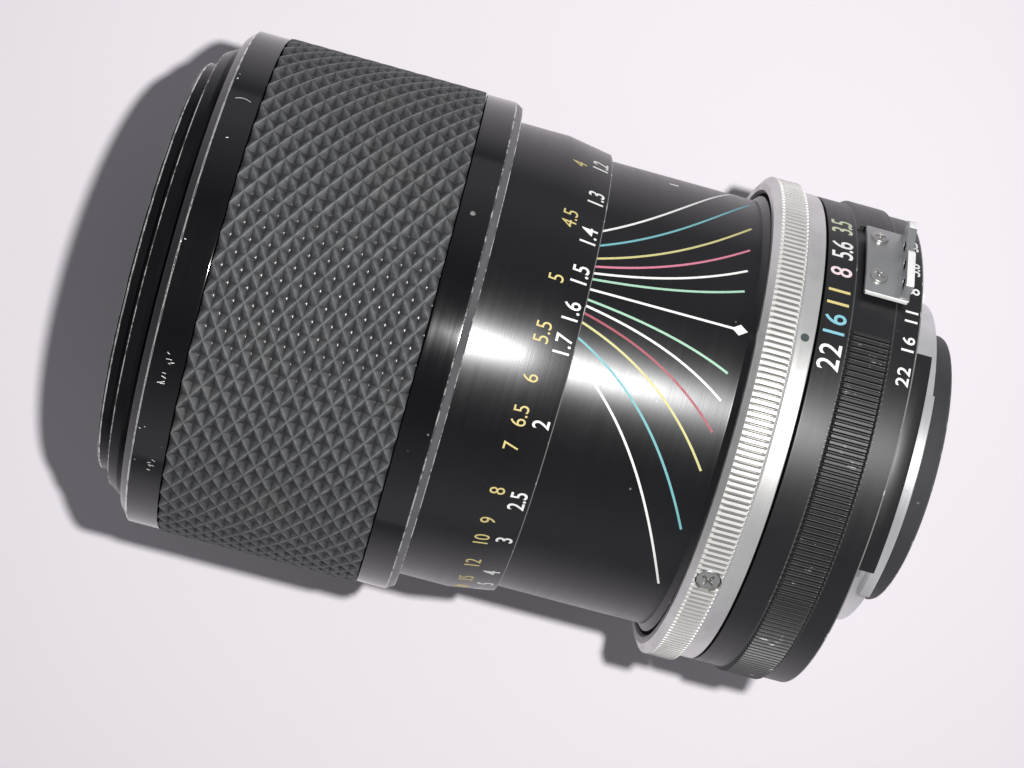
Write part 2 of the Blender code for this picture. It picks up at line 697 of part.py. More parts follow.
def front_cell():
    """The stepped tube that holds the front group's glasses."""
    profile = [
        (23.3, 89.8), (23.3, 75.0), (19.5, 75.0), (19.5, 56.5), (15.5, 56.5), (15.5, 57.8),
        (17.6, 57.8), (17.6, 75.9), (21.9, 75.9), (21.9, 89.8),
    ]
    turned("front_cell", profile, INNER_FACETS, FRONT, "matt_black")


def front_glasses():
    element("front_element_1", 21.5, (52.0, 89.6, -1), (34.0, 87.0, -1), FRONT)
    element("front_element_2", 21.4, (120.0, 80.6, -1), (90.0, 74.4, 1), FRONT)
    element("front_element_3", 17.2, (40.0, 68.0, -1), (60.0, 60.5, 1), FRONT)


# ---------------------------------------------------------------- rear group and iris
def rear_carrier():
    """The sliding tube that holds the rear glasses and the iris, and its three rollers."""
    profile = [
        (21.3, 50.8), (21.3, 41.5), (15.2, 40.5), (15.2, 26.5), (13.0, 26.5),
        (13.0, 46.0), (18.8, 46.0), (18.8, 50.8),
    ]
    made = turned("rear_group_carrier", profile, INNER_FACETS, REAR, "matt_black")
    for number, angle in enumerate(ROLLER_ANGLES, 1):
        hole = outward(19.3, angle, REAR_ROLLER_AT)
        cut(made, cylinder("roller_hole", ROLLER_RADIUS + GAP, 3.5, hole, REAR, None))
        place = outward(19.6, angle, REAR_ROLLER_AT)
        cylinder(f"rear_roller_{number}", ROLLER_RADIUS, 6.0, place, REAR, "steel")


def rear_glasses():
    element("rear_element_1", 12.5, (30.0, 45.6, -1), (60.0, 40.6, 1), REAR)
    element("rear_element_2", 12.5, (50.0, 38.6, 1), (40.0, 36.8, -1), REAR)
    element("rear_element_3", 12.5, (60.0, 33.6, -1), (28.0, 28.4, 1), REAR)
    profile = [(12.6, 28.0), (12.6, 26.7), (10.8, 26.7), (10.8, 28.0)]
    turned("rear_retaining_ring", profile, INNER_FACETS, REAR, "matt_black")


def iris_housing():
    """The cup behind the blades, with a hole for each blade's pivot, and the ring in front."""
    wall, floor_rear, floor_front, front = 18.4, 46.4, 47.2, 50.8
    profile = [
        (wall, front), (wall, floor_rear), (10.2, floor_rear), (10.2, floor_front),
        (17.2, floor_front), (17.2, front),
    ]
    made = turned("iris_housing", profile, INNER_FACETS, REAR, "matt_black")
    for number in range(BLADE_COUNT):
        hole = lengthwise(BLADE_PIVOT_RADIUS, blade_angle(number), floor_rear - 0.5)
        cut(made, cylinder("blade_pivot_hole", 0.8, 2.0, hole, REAR, None))


def blade_angle(number):
    return math.tau * number / BLADE_COUNT


def blade_outline():
    """One blade with the iris open, round its pivot: an arc of a ring with an ear."""
    points = []
    steps = 9
    first, last = math.radians(-6), math.radians(112)
    for step in range(steps + 1):
        angle = first + (last - first) * step / steps
        points.append((BLADE_INNER, angle))
    ear_end = math.radians(9)
    for step in range(steps):
        angle = last + (ear_end - last) * step / (steps - 1)
        points.append((BLADE_OUTER, angle))
    points.append((BLADE_PIVOT_RADIUS + 1.0, math.radians(3)))
    points.append((BLADE_PIVOT_RADIUS + 1.0, math.radians(-3)))
    return [(r * math.cos(a) - BLADE_PIVOT_RADIUS, r * math.sin(a)) for r, a in points]


def iris_blades():
    """Six blades, each in its own plane, turned in from the open position to f/22."""
    pin_foot = 46.65
    for number in range(BLADE_COUNT):
        plane = BLADE_FIRST + BLADE_PITCH * number
        pivot = lengthwise(BLADE_PIVOT_RADIUS, blade_angle(number), plane)
        place = pivot @ Matrix.Rotation(BLADE_CLOSED_TURN, 4, "Z")
        name = f"iris_blade_{number + 1}"
        made = plate(name, blade_outline(), BLADE_THICKNESS, place, IRIS, "blade_steel")
        foot = lengthwise(BLADE_PIVOT_RADIUS, blade_angle(number), pin_foot)
        join(made, cylinder("blade_pin", 0.45, plane - pin_foot, foot, IRIS, None))


def iris_drive_ring():
    """The ring in front of the blades; its fork takes the aperture ring's bar."""
    front, rear = 51.6, 51.1
    profile = [(20.9, front), (20.9, rear), (10.6, rear), (10.6, front)]
    made = turned("iris_drive_ring", profile, INNER_FACETS, IRIS, "steel")
    middle = (front + rear) / 2
    for side in (-1, 1):
        prong_angle = LINK_ANGLE + side * math.radians(6.3)
        size = (3.2, 0.9, (front - rear) * 0.8)
        join(made, block("fork_prong", size, (21.6, middle), prong_angle, IRIS, None))


def iris_retaining_ring():
    """The ring that keeps the drive ring in place."""
    front, rear = 52.4, 51.9
    profile = [(20.6, front), (20.6, rear), (15.0, rear), (15.0, front)]
    turned("iris_retaining_ring", profile, INNER_FACETS, REAR, "matt_black")


guide_barrel()
scale_barrel()
index_grip_ring()
mount_housing()
click_stop()
bayonet()
rear_baffle()
stop_down()
aperture_ring()
coupling_prong()
aperture_link()
zoom_carriage()
cam_tube()
focus_collar()
rubber_grip()
distance_scale_ring()
collar_retaining_ring()
filter_ring()
front_bezel()
beauty_ring()
front_cell()
front_glasses()
rear_carrier()
rear_glasses()
iris_housing()
iris_blades()
iris_drive_ring()
iris_retaining_ring()

for part in PARTS.objects:
    if part.type == "MESH":
        part.data.shade_smooth()
        part.data.set_sharp_from_angle(angle=math.radians(30))
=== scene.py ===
"""The looks of a push-pull zoom lens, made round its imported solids.

Every piece is drawn in the lens's own coordinates, in millimetres: Z is the distance
ahead of a datum plane SEAT behind the mount's seating face, and an angle of 0 points up
and grows towards world +Y. LENS turns them into world ones.
"""

import json
import random
from collections import defaultdict
from math import atan2, cos, degrees, hypot, pi, radians, sin, sqrt, tan, tau

import bmesh
import bpy
import numpy as np
from mathutils import Matrix, Vector


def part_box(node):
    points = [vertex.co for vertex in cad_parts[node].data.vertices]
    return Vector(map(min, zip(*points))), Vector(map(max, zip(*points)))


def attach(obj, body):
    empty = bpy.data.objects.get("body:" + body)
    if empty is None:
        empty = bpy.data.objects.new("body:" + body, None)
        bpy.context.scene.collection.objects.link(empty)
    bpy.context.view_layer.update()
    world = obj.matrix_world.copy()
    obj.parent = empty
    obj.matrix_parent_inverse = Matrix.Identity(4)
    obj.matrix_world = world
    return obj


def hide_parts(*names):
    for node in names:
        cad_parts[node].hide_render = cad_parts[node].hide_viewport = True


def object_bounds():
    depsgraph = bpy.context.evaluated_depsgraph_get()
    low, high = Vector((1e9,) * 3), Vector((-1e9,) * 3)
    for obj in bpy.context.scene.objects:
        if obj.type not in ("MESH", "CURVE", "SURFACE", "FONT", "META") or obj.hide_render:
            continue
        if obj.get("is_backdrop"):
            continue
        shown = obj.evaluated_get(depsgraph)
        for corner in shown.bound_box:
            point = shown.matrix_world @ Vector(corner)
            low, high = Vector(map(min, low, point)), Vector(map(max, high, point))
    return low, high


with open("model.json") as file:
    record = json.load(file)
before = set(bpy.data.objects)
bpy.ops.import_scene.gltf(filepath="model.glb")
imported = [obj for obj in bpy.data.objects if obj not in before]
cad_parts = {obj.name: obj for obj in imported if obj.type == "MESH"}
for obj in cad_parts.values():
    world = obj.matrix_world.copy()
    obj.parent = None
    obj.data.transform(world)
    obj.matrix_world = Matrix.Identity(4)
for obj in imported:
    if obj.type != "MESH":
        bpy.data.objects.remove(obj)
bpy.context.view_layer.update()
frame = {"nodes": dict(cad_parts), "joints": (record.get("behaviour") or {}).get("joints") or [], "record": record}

SCENE = bpy.context.scene
MM = 0.001

# ----- places from the frame
joints = {joint["name"]: joint for joint in frame["joints"]}
mounts = {mount["name"]: mount for mount in frame["record"]["mounts"]}
SEAT = 2.3  # the mount's seating face
DATUM_X = mounts["bayonet_seat"]["pos_m"][0] + SEAT * MM
AXIS_Z = joints["focus_turn"]["pos_m"][2]
LENS = Matrix.Translation((DATUM_X, 0, AXIS_Z)) @ Matrix.Rotation(-pi / 2, 4, "Y")


class Extent:
    """How far a CAD ring reaches: its front and rear distances and its outer radius."""

    def __init__(self, cad_node, facets=32):
        low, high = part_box(cad_node)
        self.front = (DATUM_X - low.x) / MM
        self.rear = (DATUM_X - high.x) / MM
        self.radius = (high.y - low.y) / 2 / cos(pi / facets) / MM


COLLAR = Extent("focus_collar")
GRIP = Extent("rubber_grip")
SCALE = Extent("distance_scale_ring")
BARREL = Extent("scale_barrel")
SILVER = Extent("index_grip_ring")
APERTURE = Extent("aperture_ring")
BEZEL = Extent("front_bezel")
RIM = Extent("filter_ring")
BAFFLE = Extent("rear_baffle", 24)


# ----- node materials
class Nodes:
    """The nodes of a material or world. An input is a value or another node's output.

    axis is the lens's axis in the object's coordinates: Z, or X in a CAD piece's.
    """

    def __init__(self, owner, main, axis="Z"):
        owner.use_nodes = True
        self.tree = owner.node_tree
        self.main = self.tree.nodes[main]
        self.axis = axis

    def feed(self, socket, value):
        if isinstance(value, bpy.types.NodeSocket):
            self.tree.links.new(value, socket)
        else:
            socket.default_value = value

    def add(self, kind, inputs=None, **settings):
        made = self.tree.nodes.new("ShaderNode" + kind)
        for name, value in settings.items():
            setattr(made, name, value)
        for name, value in (inputs or {}).items():
            self.feed(made.inputs[name], value)
        return made

    def stretched(self, round_scale, along_scale):
        """Object coordinates with their own scale along the lens's axis."""
        scale = [round_scale] * 3
        scale["XYZ".index(self.axis)] = along_scale
        place = self.add("TexCoord").outputs["Object"]
        return self.add("Mapping", {"Vector": place, "Scale": scale}).outputs["Vector"]

    def noise(self, round_scale, along_scale, detail, rough=0.6):
        place = self.stretched(round_scale, along_scale)
        inputs = {"Vector": place, "Scale": 1.0, "Detail": detail, "Roughness": rough}
        return self.add("TexNoise", inputs).outputs["Fac"]

    def attribute(self, name):
        return self.add("Attribute", attribute_name=name).outputs["Fac"]

    def remap(self, value, low, high, to_low=0.0, to_high=1.0):
        inputs = {"Value": value, "From Min": low, "From Max": high, "To Min": to_low, "To Max": to_high}
        return self.add("MapRange", inputs, clamp=True).outputs["Result"]

    def calculate(self, operation, first, second):
        return self.add("Math", {0: first, 1: second}, operation=operation).outputs["Value"]

    def product(self, first, second):
        return self.calculate("MULTIPLY", first, second)

    def blend(self, factor, first, second):
        """A colour between two, each given as (r, g, b) or as a socket."""
        inputs = {0: factor}
        for socket, colour in ((6, first), (7, second)):
            inputs[socket] = colour if isinstance(colour, bpy.types.NodeSocket) else (*colour, 1.0)
        return self.add("Mix", inputs, data_type="RGBA").outputs[2]

    def dust(self, scale, amount):
        """Small separate specks: 1 on a speck and 0 elsewhere."""
        cells = self.add("TexVoronoi", {"Vector": self.stretched(scale, scale), "Scale": 1.0})
        near = self.remap(cells.outputs["Distance"], 0.16, 0.08)
        chosen = self.add("SeparateColor", {"Color": cells.outputs["Color"]})
        rare = self.remap(chosen.outputs["Red"], 1.0 - amount, 1.0 - amount + 0.01)
        return self.product(near, rare)

    def uneven(self, first, second, rough):
        """A roughness between two values, that follows the mean of two noises."""
        mean = self.product(self.calculate("ADD", first, second), 0.5)
        return self.remap(mean, 0.3, 0.7, *rough)

    def finish(self, colour, rough, height=None, strength=0.0, distance=0.0):
        """Feed the shader's colour and roughness, and bump it where there's a height."""
        self.feed(self.main.inputs["Base Color"], colour)
        self.feed(self.main.inputs["Roughness"], rough)
        if height is not None:
            bump = {"Height": height, "Strength": strength, "Distance": distance}
            self.feed(self.main.inputs["Normal"], self.add("Bump", bump).outputs["Normal"])


MATERIALS = {}


def principled(name, axis="Z", **sockets):
    """The nodes of a new material, with fixed values on these sockets of its shader."""
    MATERIALS[name] = bpy.data.materials.new(name)
    nodes = Nodes(MATERIALS[name], "Principled BSDF", axis)
    for socket, value in sockets.items():
        nodes.main.inputs[socket.replace("_", " ")].default_value = value
    return nodes


def scaled(colour, factor, lift=0.0):
    return tuple(value * factor + lift for value in colour)


BLACK = (0.0035, 0.0035, 0.0042)


def anodised(name, rough, colour=BLACK, wear=0.5, brushed=0.05, axis="Z", shine=0.6):
    """Black anodised metal, turned on a lathe, with bright wear on its edges."""
    nodes = principled(name, axis, Metallic=0.0, Specular_IOR_Level=shine)
    lines = nodes.noise(60, 9000, 2.0)
    bands = nodes.noise(25, 1500, 3.0)
    smudges = nodes.noise(130, 130, 5.0)
    body = nodes.blend(smudges, colour, scaled(colour, 1.8, 0.001))
    body = nodes.blend(nodes.dust(900, 0.02), body, (0.16, 0.155, 0.15))
    if wear:
        edge = nodes.attribute("edge")
        body = nodes.blend(nodes.product(edge, 0.10 + 0.25 * wear), body, (0.30, 0.295, 0.29))
        chips = nodes.noise(420, 420, 6.0, 0.7)
        worn = nodes.product(edge, nodes.remap(chips, 0.72 - 0.28 * wear, 0.80 - 0.28 * wear))
        body = nodes.blend(worn, body, (0.74, 0.73, 0.72))
        nodes.feed(nodes.main.inputs["Metallic"], nodes.product(worn, 0.6))
    nodes.finish(body, nodes.uneven(bands, smudges, rough), lines, brushed, 0.00003)


def bright_metal(name, colour, rough=(0.3, 0.42), brushed=0.06, axis="Z", metallic=1.0):
    """Bright turned metal with fine lines, faint stains and a few dark spots."""
    nodes = principled(name, axis, Metallic=metallic)
    lines = nodes.noise(70, 8000, 2.0)
    stains = nodes.noise(160, 160, 5.0)
    grain = nodes.noise(5000, 5000, 2.0)
    body = nodes.blend(nodes.remap(stains, 0.45, 0.75), colour, scaled(colour, 0.82))
    body = nodes.blend(nodes.dust(700, 0.01), body, (0.12, 0.11, 0.10))
    height = nodes.calculate("ADD", lines, grain)
    nodes.finish(body, nodes.uneven(lines, stains, rough), height, brushed, 0.00004)


def rubber_surface():
    """Moulded rubber: lighter ridges, partly worn and partly a painted highlight, and painted shade in star-shaped
    pits with a glossy bottom.
    """
    nodes = principled("rubber", Metallic=0.0, Specular_IOR_Level=1.0)
    height = nodes.attribute("height")
    mottle = nodes.noise(1100, 1100, 5.0, 0.7)
    patches = nodes.noise(90, 90, 4.0)
    wall = nodes.blend(nodes.remap(mottle, 0.35, 0.65), (0.028, 0.030, 0.033), (0.092, 0.094, 0.098))
    # Painted shade: near black in the pits and along their creases.
    body = nodes.blend(nodes.attribute("star"), (0.004, 0.004, 0.005), wall)
    # Lighter ridges: partly rubbed wear, and partly a painted highlight that is strongest on the lit diagonal
    # family.
    worn_and_highlit = nodes.product(nodes.attribute("ridge"), nodes.remap(mottle, 0.25, 0.55, 0.3, 1.0))
    body = nodes.blend(worn_and_highlit, body, (0.170, 0.172, 0.170))
    dusty = nodes.product(nodes.remap(patches, 0.55, 0.80), nodes.remap(mottle, 0.45, 0.7))
    body = nodes.blend(nodes.product(dusty, 0.30), body, (0.20, 0.17, 0.12))
    grain = nodes.remap(height, 0.05, 0.20, 0.05, 0.55)
    nodes.finish(body, nodes.remap(height, 0.06, 0.26, 0.34, 0.66), mottle, grain, 0.00014)


def enamel(name, colour):
    """Paint filled into an engraved mark, slightly uneven."""
    nodes = principled(name, Metallic=0.0, Specular_IOR_Level=0.4)
    uneven = nodes.noise(2500, 2500, 3.0)
    body = nodes.blend(uneven, scaled(colour, 0.72), colour)
    nodes.finish(body, nodes.remap(uneven, 0.3, 0.7, 0.45, 0.65))


def coated_glass(name, film):
    """Clear glass whose reflection is tinted by a thin coating, film nanometres thick."""
    nodes = principled(
        name, Transmission_Weight=1.0, IOR=1.62, Thin_Film_Thickness=film, Thin_Film_IOR=1.38)
    haze = nodes.noise(40, 40, 1.0)
    nodes.feed(nodes.main.inputs["Roughness"], nodes.remap(haze, 0.3, 0.8, 0.0, 0.02))


def paper():
    """The pale table."""
    nodes = principled("pale_table", Specular_IOR_Level=0.25)
    soft = nodes.noise(6, 6, 4.0)
    body = nodes.blend(soft, (0.80, 0.748, 0.795), (0.83, 0.778, 0.825))
    nodes.finish(body, nodes.remap(soft, 0.0, 1.0, 0.55, 0.7))


anodised("collar", (0.09, 0.15), wear=0.9, brushed=0.03)
# Painted reflection: an even grey that stands for the table reflected in the collar's rear chamfer.
anodised("chamfer_painted_reflection", (0.30, 0.40), colour=(0.055, 0.055, 0.058), wear=0.9)
anodised("front", (0.16, 0.26), wear=0.9, shine=0.10)
anodised("scale", (0.25, 0.31), brushed=0.12, shine=0.5)
anodised("barrel", (0.28, 0.34), wear=0.3, brushed=0.12, shine=0.45)
anodised("aperture", (0.36, 0.46), wear=0.4)
anodised("matt", (0.55, 0.75), wear=0.1, brushed=0.10)
anodised("baffle", (0.50, 0.68), colour=(0.020, 0.020, 0.022), brushed=0.10)
anodised("matt_inside", (0.5, 0.7), wear=0, axis="X")
bright_metal("satin", (0.70, 0.69, 0.68), rough=(0.36, 0.46), metallic=0.8)
bright_metal("milled", (0.74, 0.73, 0.71), rough=(0.46, 0.58), metallic=0.45)
# Painted shade: the darker colour given to the floors of the milled grooves.
bright_metal("milled_groove_painted_shade", (0.35, 0.34, 0.32), rough=(0.50, 0.62), metallic=0.5)
bright_metal("plate", (0.40, 0.41, 0.41), brushed=0.10, metallic=0.75)
bright_metal("chrome", (0.70, 0.70, 0.71), rough=(0.28, 0.38), metallic=0.7)
# Pale metal: bare metal in the collar's scratches, and a painted highlight on the prong's top faces and foot end.
bright_metal("bare_metal_and_highlight", (0.86, 0.86, 0.84), rough=(0.40, 0.52), metallic=0.2)
bright_metal("steel", (0.46, 0.455, 0.44), rough=(0.26, 0.38), metallic=0.85)
bright_metal("steel_inside", (0.55, 0.55, 0.56), axis="X")
bright_metal("brass_inside", (0.68, 0.50, 0.24), axis="X")
bright_metal("blade", (0.07, 0.07, 0.08), rough=(0.35, 0.5), axis="X")
rubber_surface()
coated_glass("glass_amber", 150.0)
coated_glass("glass_purple", 110.0)
enamel("white", (0.86, 0.86, 0.84))
enamel("yellow", (0.66, 0.55, 0.22))
enamel("lemon", (0.60, 0.56, 0.24))
enamel("green", (0.36, 0.60, 0.44))
enamel("pale_green", (0.62, 0.68, 0.48))
enamel("red", (0.62, 0.20, 0.28))
enamel("pink", (0.86, 0.68, 0.72))
# Painted shade: the same red paint as above, darker, for the lower f/8 depth line.
enamel("red_in_painted_shade", (0.36, 0.075, 0.10))
enamel("cyan", (0.17, 0.44, 0.47))
enamel("blue", (0.22, 0.50, 0.58))
enamel("dot", (0.05, 0.065, 0.065))
paper()


# ----- mesh helpers
def polar(radius, angle, along):
    """A point of the lens, in metres."""
    return Vector((radius * cos(angle), radius * sin(angle), along)) * MM


def smooth(mesh, crease=32.0):
    mesh.shade_smooth()
    mesh.set_sharp_from_angle(angle=radians(crease))


def coat(mesh, *surfaces):
    """Give the mesh these materials, in the order of its faces' material indices."""
    mesh.materials.clear()
    for surface in surfaces:
        mesh.materials.append(MATERIALS[surface])


def linked(name, data, place=None):
    """A new object in the scene."""
    made = bpy.data.objects.new(name, data)
    SCENE.collection.objects.link(made)
    if place is not None:
        made.matrix_world = place
    return made


def show(name, mesh, surface, body, nodes=(), place=None):
    """Put a mesh into the scene as a piece of the lens."""
    made = linked(name, mesh, LENS @ place if place is not None else LENS)
    if not mesh.materials:
        coat(mesh, surface)
    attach(made, body)
    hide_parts(*nodes)


def curve_past(corner, first, last, steps):
    """Points of the curve that cuts a corner, from first to last."""
    shares = [step / steps for step in range(steps + 1)]
    return [first * (1 - t) ** 2 + corner * 2 * t * (1 - t) + last * t ** 2 for t in shares]


def corners_of(outline):
    """Each corner of a closed outline, and the lines to the ones before and after."""
    for i, spot in enumerate(outline):
        corner = Vector(spot)
        yield i, corner, Vector(outline[i - 1]) - corner, Vector(outline[(i + 1) % len(outline)]) - corner


def rounded(outline, radius=0.12, worn=None):
    """A closed outline with each corner turned into a curve: rows of (radius, distance, edge).

    worn tells how much the finish has gone at a corner, by its number in the outline.
    """
    worn = worn or {}
    support, straight = 0.10, radians(12)
    rows = []
    for i, corner, before, after in corners_of(outline):
        turn = pi - before.angle(after)
        if turn < straight:
            rows.append((*outline[i], 0.0))
            continue
        reach = min(radius * tan(turn / 2), 0.4 * before.length, 0.4 * after.length)
        first, last = (corner + side.normalized() * reach for side in (before, after))
        rows.append((*(first + before.normalized() * min(support, 0.08 * before.length)), 0.0))
        rows += [(*point, worn.get(i, 0.0)) for point in curve_past(corner, first, last, 3)]
        rows.append((*(last + after.normalized() * min(support, 0.08 * after.length)), 0.0))
    return rows


def soft_outline(outline, radius):
    """A flat outline with each corner turned into a curve."""
    points = []
    for _, corner, *sides in corners_of(outline):
        first, last = (corner + side.normalized() * min(radius, 0.48 * side.length) for side in sides)
        points += [tuple(point) for point in curve_past(corner, first, last, 5)]
    return points


def grid_corners(rows, columns, closed=True):
    """The four vertex numbers of each face of a grid that goes round the axis."""
    row = np.arange(rows if closed else rows - 1)[:, None]
    column = np.arange(columns)[None, :]
    ahead, beside = (row + 1) % rows * columns, (column + 1) % columns
    row = row * columns
    return np.stack([row + column, row + beside, ahead + beside, ahead + column], -1)


def grid_mesh(name, radius, along, angle, faces, crease, **layers):
    """A closed mesh from grids of radius, distance and angle, with layers of values."""
    points = np.stack([radius * np.cos(angle), radius * np.sin(angle), along], -1).reshape(-1, 3) * MM
    mesh = bpy.data.meshes.new(name)
    mesh.from_pydata(points.tolist(), [], faces.tolist())
    for layer, values in layers.items():
        made = mesh.attributes.new(layer, "FLOAT", "POINT")
        made.data.foreach_set("value", values.ravel().astype(np.float32))
    close(mesh)
    smooth(mesh, crease)
    return mesh


def ring(name, rows, columns, shape=None, disc=False, crease=32.0, wear=None):
    """Rows of (radius, distance, edge) swept round the axis.

    shape(radius, along, angle) may change the radii, and wear of the same kind raises the
    edge values. A disc's rows start and end on the axis.
    """
    table = np.array(rows, float)
    radius, along, worn = (np.repeat(table[:, i:i + 1], columns, 1) for i in range(3))
    angle = np.broadcast_to(np.arange(columns) * tau / columns, radius.shape)
    if shape is not None:
        radius = shape(radius, along, angle)
    if wear is not None:
        worn = np.maximum(worn, wear(radius, along, angle))
    faces = grid_corners(len(rows), columns, not disc).reshape(-1, 4)
    return grid_mesh(name, radius, along, angle, faces, crease, edge=worn)


def turned(name, rows, surface, body, slot, cad_node, columns=320, **more):
    """A ring shown in place of a CAD node."""
    show(name, ring(name, rows, columns, **more), surface, body, [cad_node])


def close(mesh, distance=1e-8):
    """Weld what meets and point every face outwards."""
    bm = bmesh.new()
    bm.from_mesh(mesh)
    bmesh.ops.remove_doubles(bm, verts=bm.verts, dist=distance)
    bmesh.ops.recalc_face_normals(bm, faces=bm.faces)
    bm.to_mesh(mesh)
    bm.free()


def written(bm):
    """A new mesh of the bmesh, which is freed."""
    mesh = bpy.data.meshes.new("solid")
    bm.to_mesh(mesh)
    bm.free()
    return mesh


def basic(create, **settings):
    """A new mesh made by one bmesh operation."""
    bm = bmesh.new()
    create(bm, **settings)
    return written(bm)


def sector(outline, start, span, columns):
    """Part of a ring: a closed outline swept from start through span."""
    bm = bmesh.new()
    face = bm.faces.new([bm.verts.new(polar(r, start, along)) for r, along in outline])
    bmesh.ops.spin(
        bm, geom=[face, *face.edges, *face.verts], cent=(0, 0, 0), axis=(0, 0, 1),
        angle=span, steps=columns, use_merge=False, use_duplicate=False)
    bmesh.ops.recalc_face_normals(bm, faces=bm.faces)
    return written(bm)


def combined(mesh, others, operation="DIFFERENCE", bevel=0.0):
    """The mesh with others, a list of (mesh, place), cut from it or joined to it."""
    base = linked("base", mesh)
    tools = [linked("tool", other, place) for other, place in others]
    for tool in tools:
        step = base.modifiers.new("step", "BOOLEAN")
        step.operation = operation
        step.object = tool
    if bevel:
        soften = base.modifiers.new("soften", "BEVEL")
        soften.width = bevel * MM
        soften.segments = 2
        soften.limit_method = "ANGLE"
        soften.angle_limit = radians(40)
    graph = bpy.context.evaluated_depsgraph_get()
    made = bpy.data.meshes.new_from_object(base.evaluated_get(graph))
    for used in [base, *tools]:
        bpy.data.objects.remove(used, do_unlink=True)
    smooth(made)
    return made


def drum(radius, bottom, top, sides=48):
    """A plain cylinder along Z, used as a cutter."""
    return basic(
        bmesh.ops.create_cone, cap_ends=True, segments=sides, radius1=radius * MM, radius2=radius * MM,
        depth=(top - bottom) * MM, matrix=Matrix.Translation((0, 0, (top + bottom) / 2 * MM)))


def bar(size):
    """A plain box centred on the origin, used as a cutter."""
    scale = Matrix.Diagonal((*(side * MM for side in size), 1.0))
    return basic(bmesh.ops.create_cube, size=1.0, matrix=scale)


def outward(radius, angle, along, tilt=pi / 2, axis="Y"):
    """Placement of a piece whose Z points away from the axis."""
    turn = Matrix.Rotation(angle, 4, "Z") @ Matrix.Rotation(tilt, 4, axis)
    return Matrix.Translation(polar(radius, angle, along)) @ turn


def rearward(radius, angle, along):
    """Placement of a piece whose Z points to the rear."""
    return outward(radius, angle, along, pi, "X")


def screw_places(name, count):
    """The angle and distance of each CAD screw of one kind."""
    places = []
    for number in range(1, count + 1):
        low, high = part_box(f"{name}_{number}")
        middle = LENS.inverted() @ ((low + high) / 2)
        places.append((atan2(middle.y, middle.x), middle.z / MM))
    return places


def mesh_of(curve):
    """The welded mesh that a curve or text evaluates to."""
    drawn = linked("drawn", curve)
    graph = bpy.context.evaluated_depsgraph_get()
    mesh = bpy.data.meshes.new_from_object(drawn.evaluated_get(graph))
    bpy.data.objects.remove(drawn, do_unlink=True)
    close(mesh, 1e-7)
    mesh.materials.clear()
    return mesh


def plate(outlines, thickness, edge):
    """Flat closed outlines, the later ones holes, made solid about their plane."""
    curve = bpy.data.curves.new("plate", "CURVE")
    curve.dimensions = "2D"
    curve.fill_mode = "BOTH"
    curve.extrude = (thickness / 2 - edge) * MM
    curve.bevel_depth = edge * MM
    curve.bevel_resolution = 1
    curve.offset = -edge * MM
    for outline in outlines:
        spline = curve.splines.new("POLY")
        spline.points.add(len(outline) - 1)
        for spot, (x, y) in zip(spline.points, outline):
            spot.co = (x * MM, y * MM, 0.0, 1.0)
        spline.use_cyclic_u = True
    return mesh_of(curve)


# ----- marks
PAINT = 0.025  # how far an enamelled mark stands above its surface


class Marks:
    """Enamel marks of one colour on one surface, gathered into one piece."""

    def __init__(self, surface):
        self.surface = surface
        self.points = []
        self.faces = []

    def add(self, points, faces):
        """Points are (angle, distance, raised), with raised 1 outside and 0 inside."""
        first = len(self.points)
        for angle, along, raised in points:
            radius = self.surface(along) + (PAINT if raised else -PAINT)
            self.points.append(polar(radius, angle, along))
        self.faces += [[first + corner for corner in face] for face in faces]

    def strip(self, path, width, closed=False):
        """A line of even width along a path of (angle, distance)."""
        points, faces = [], []
        count = len(path)
        for i, (angle, along) in enumerate(path):
            radius = self.surface(along)
            back = path[i - 1] if i or closed else path[0]
            ahead = path[(i + 1) % count] if i < count - 1 or closed else path[-1]
            run = Vector(((ahead[0] - back[0]) * radius, ahead[1] - back[1])).normalized()
            for side in (-0.5, 0.5):
                spot = (angle - run.y * side * width / radius, along + run.x * side * width)
                points += [(*spot, 1), (*spot, 0)]
        for i in range(count if closed else count - 1):
            a, b = 4 * i, 4 * ((i + 1) % count)
            for one, two in ((0, 2), (2, 3), (3, 1), (1, 0)):
                faces.append([a + one, a + two, b + two, b + one])
        if not closed:
            end = 4 * (count - 1)
            faces += [[0, 1, 3, 2], [end, end + 2, end + 3, end + 1]]
        self.add(points, faces)

    def patch(self, outline):
        """A small filled outline of (angle, distance) corners."""
        count = len(outline)
        points = [(*spot, 1) for spot in outline] + [(*spot, 0) for spot in outline]
        faces = [list(range(count)), list(range(2 * count - 1, count - 1, -1))]
        faces += [[i, i + count, (i + 1) % count + count, (i + 1) % count] for i in range(count)]
        self.add(points, faces)

    def digits(self, text, angle, along, height, width, weight, spacing=1.0):
        """Digits centred at a place, with their tops to the front."""
        curve = bpy.data.curves.new("digits", "FONT")
        curve.body = text
        curve.align_x = "CENTER"
        curve.offset = weight
        curve.extrude = 0.5
        curve.space_character = spacing
        curve.resolution_u = 4
        mesh = mesh_of(curve)
        spots = np.array([v.co for v in mesh.vertices])
        low, high = spots.min(0), spots.max(0)
        scale = height / (high[1] - low[1])
        middle = (low[1] + high[1]) / 2
        radius = self.surface(along)
        points = [
            (angle + x * scale * width / radius, along + (y - middle) * scale, z > 0)
            for x, y, z in spots
        ]
        self.add(points, [list(face.vertices) for face in mesh.polygons])
        bpy.data.meshes.remove(mesh)

    def done(self, name, colour, body, slot):
        mesh = bpy.data.meshes.new(name)
        mesh.from_pydata(self.points, [], self.faces)
        close(mesh)
        show(name, mesh, colour, body)


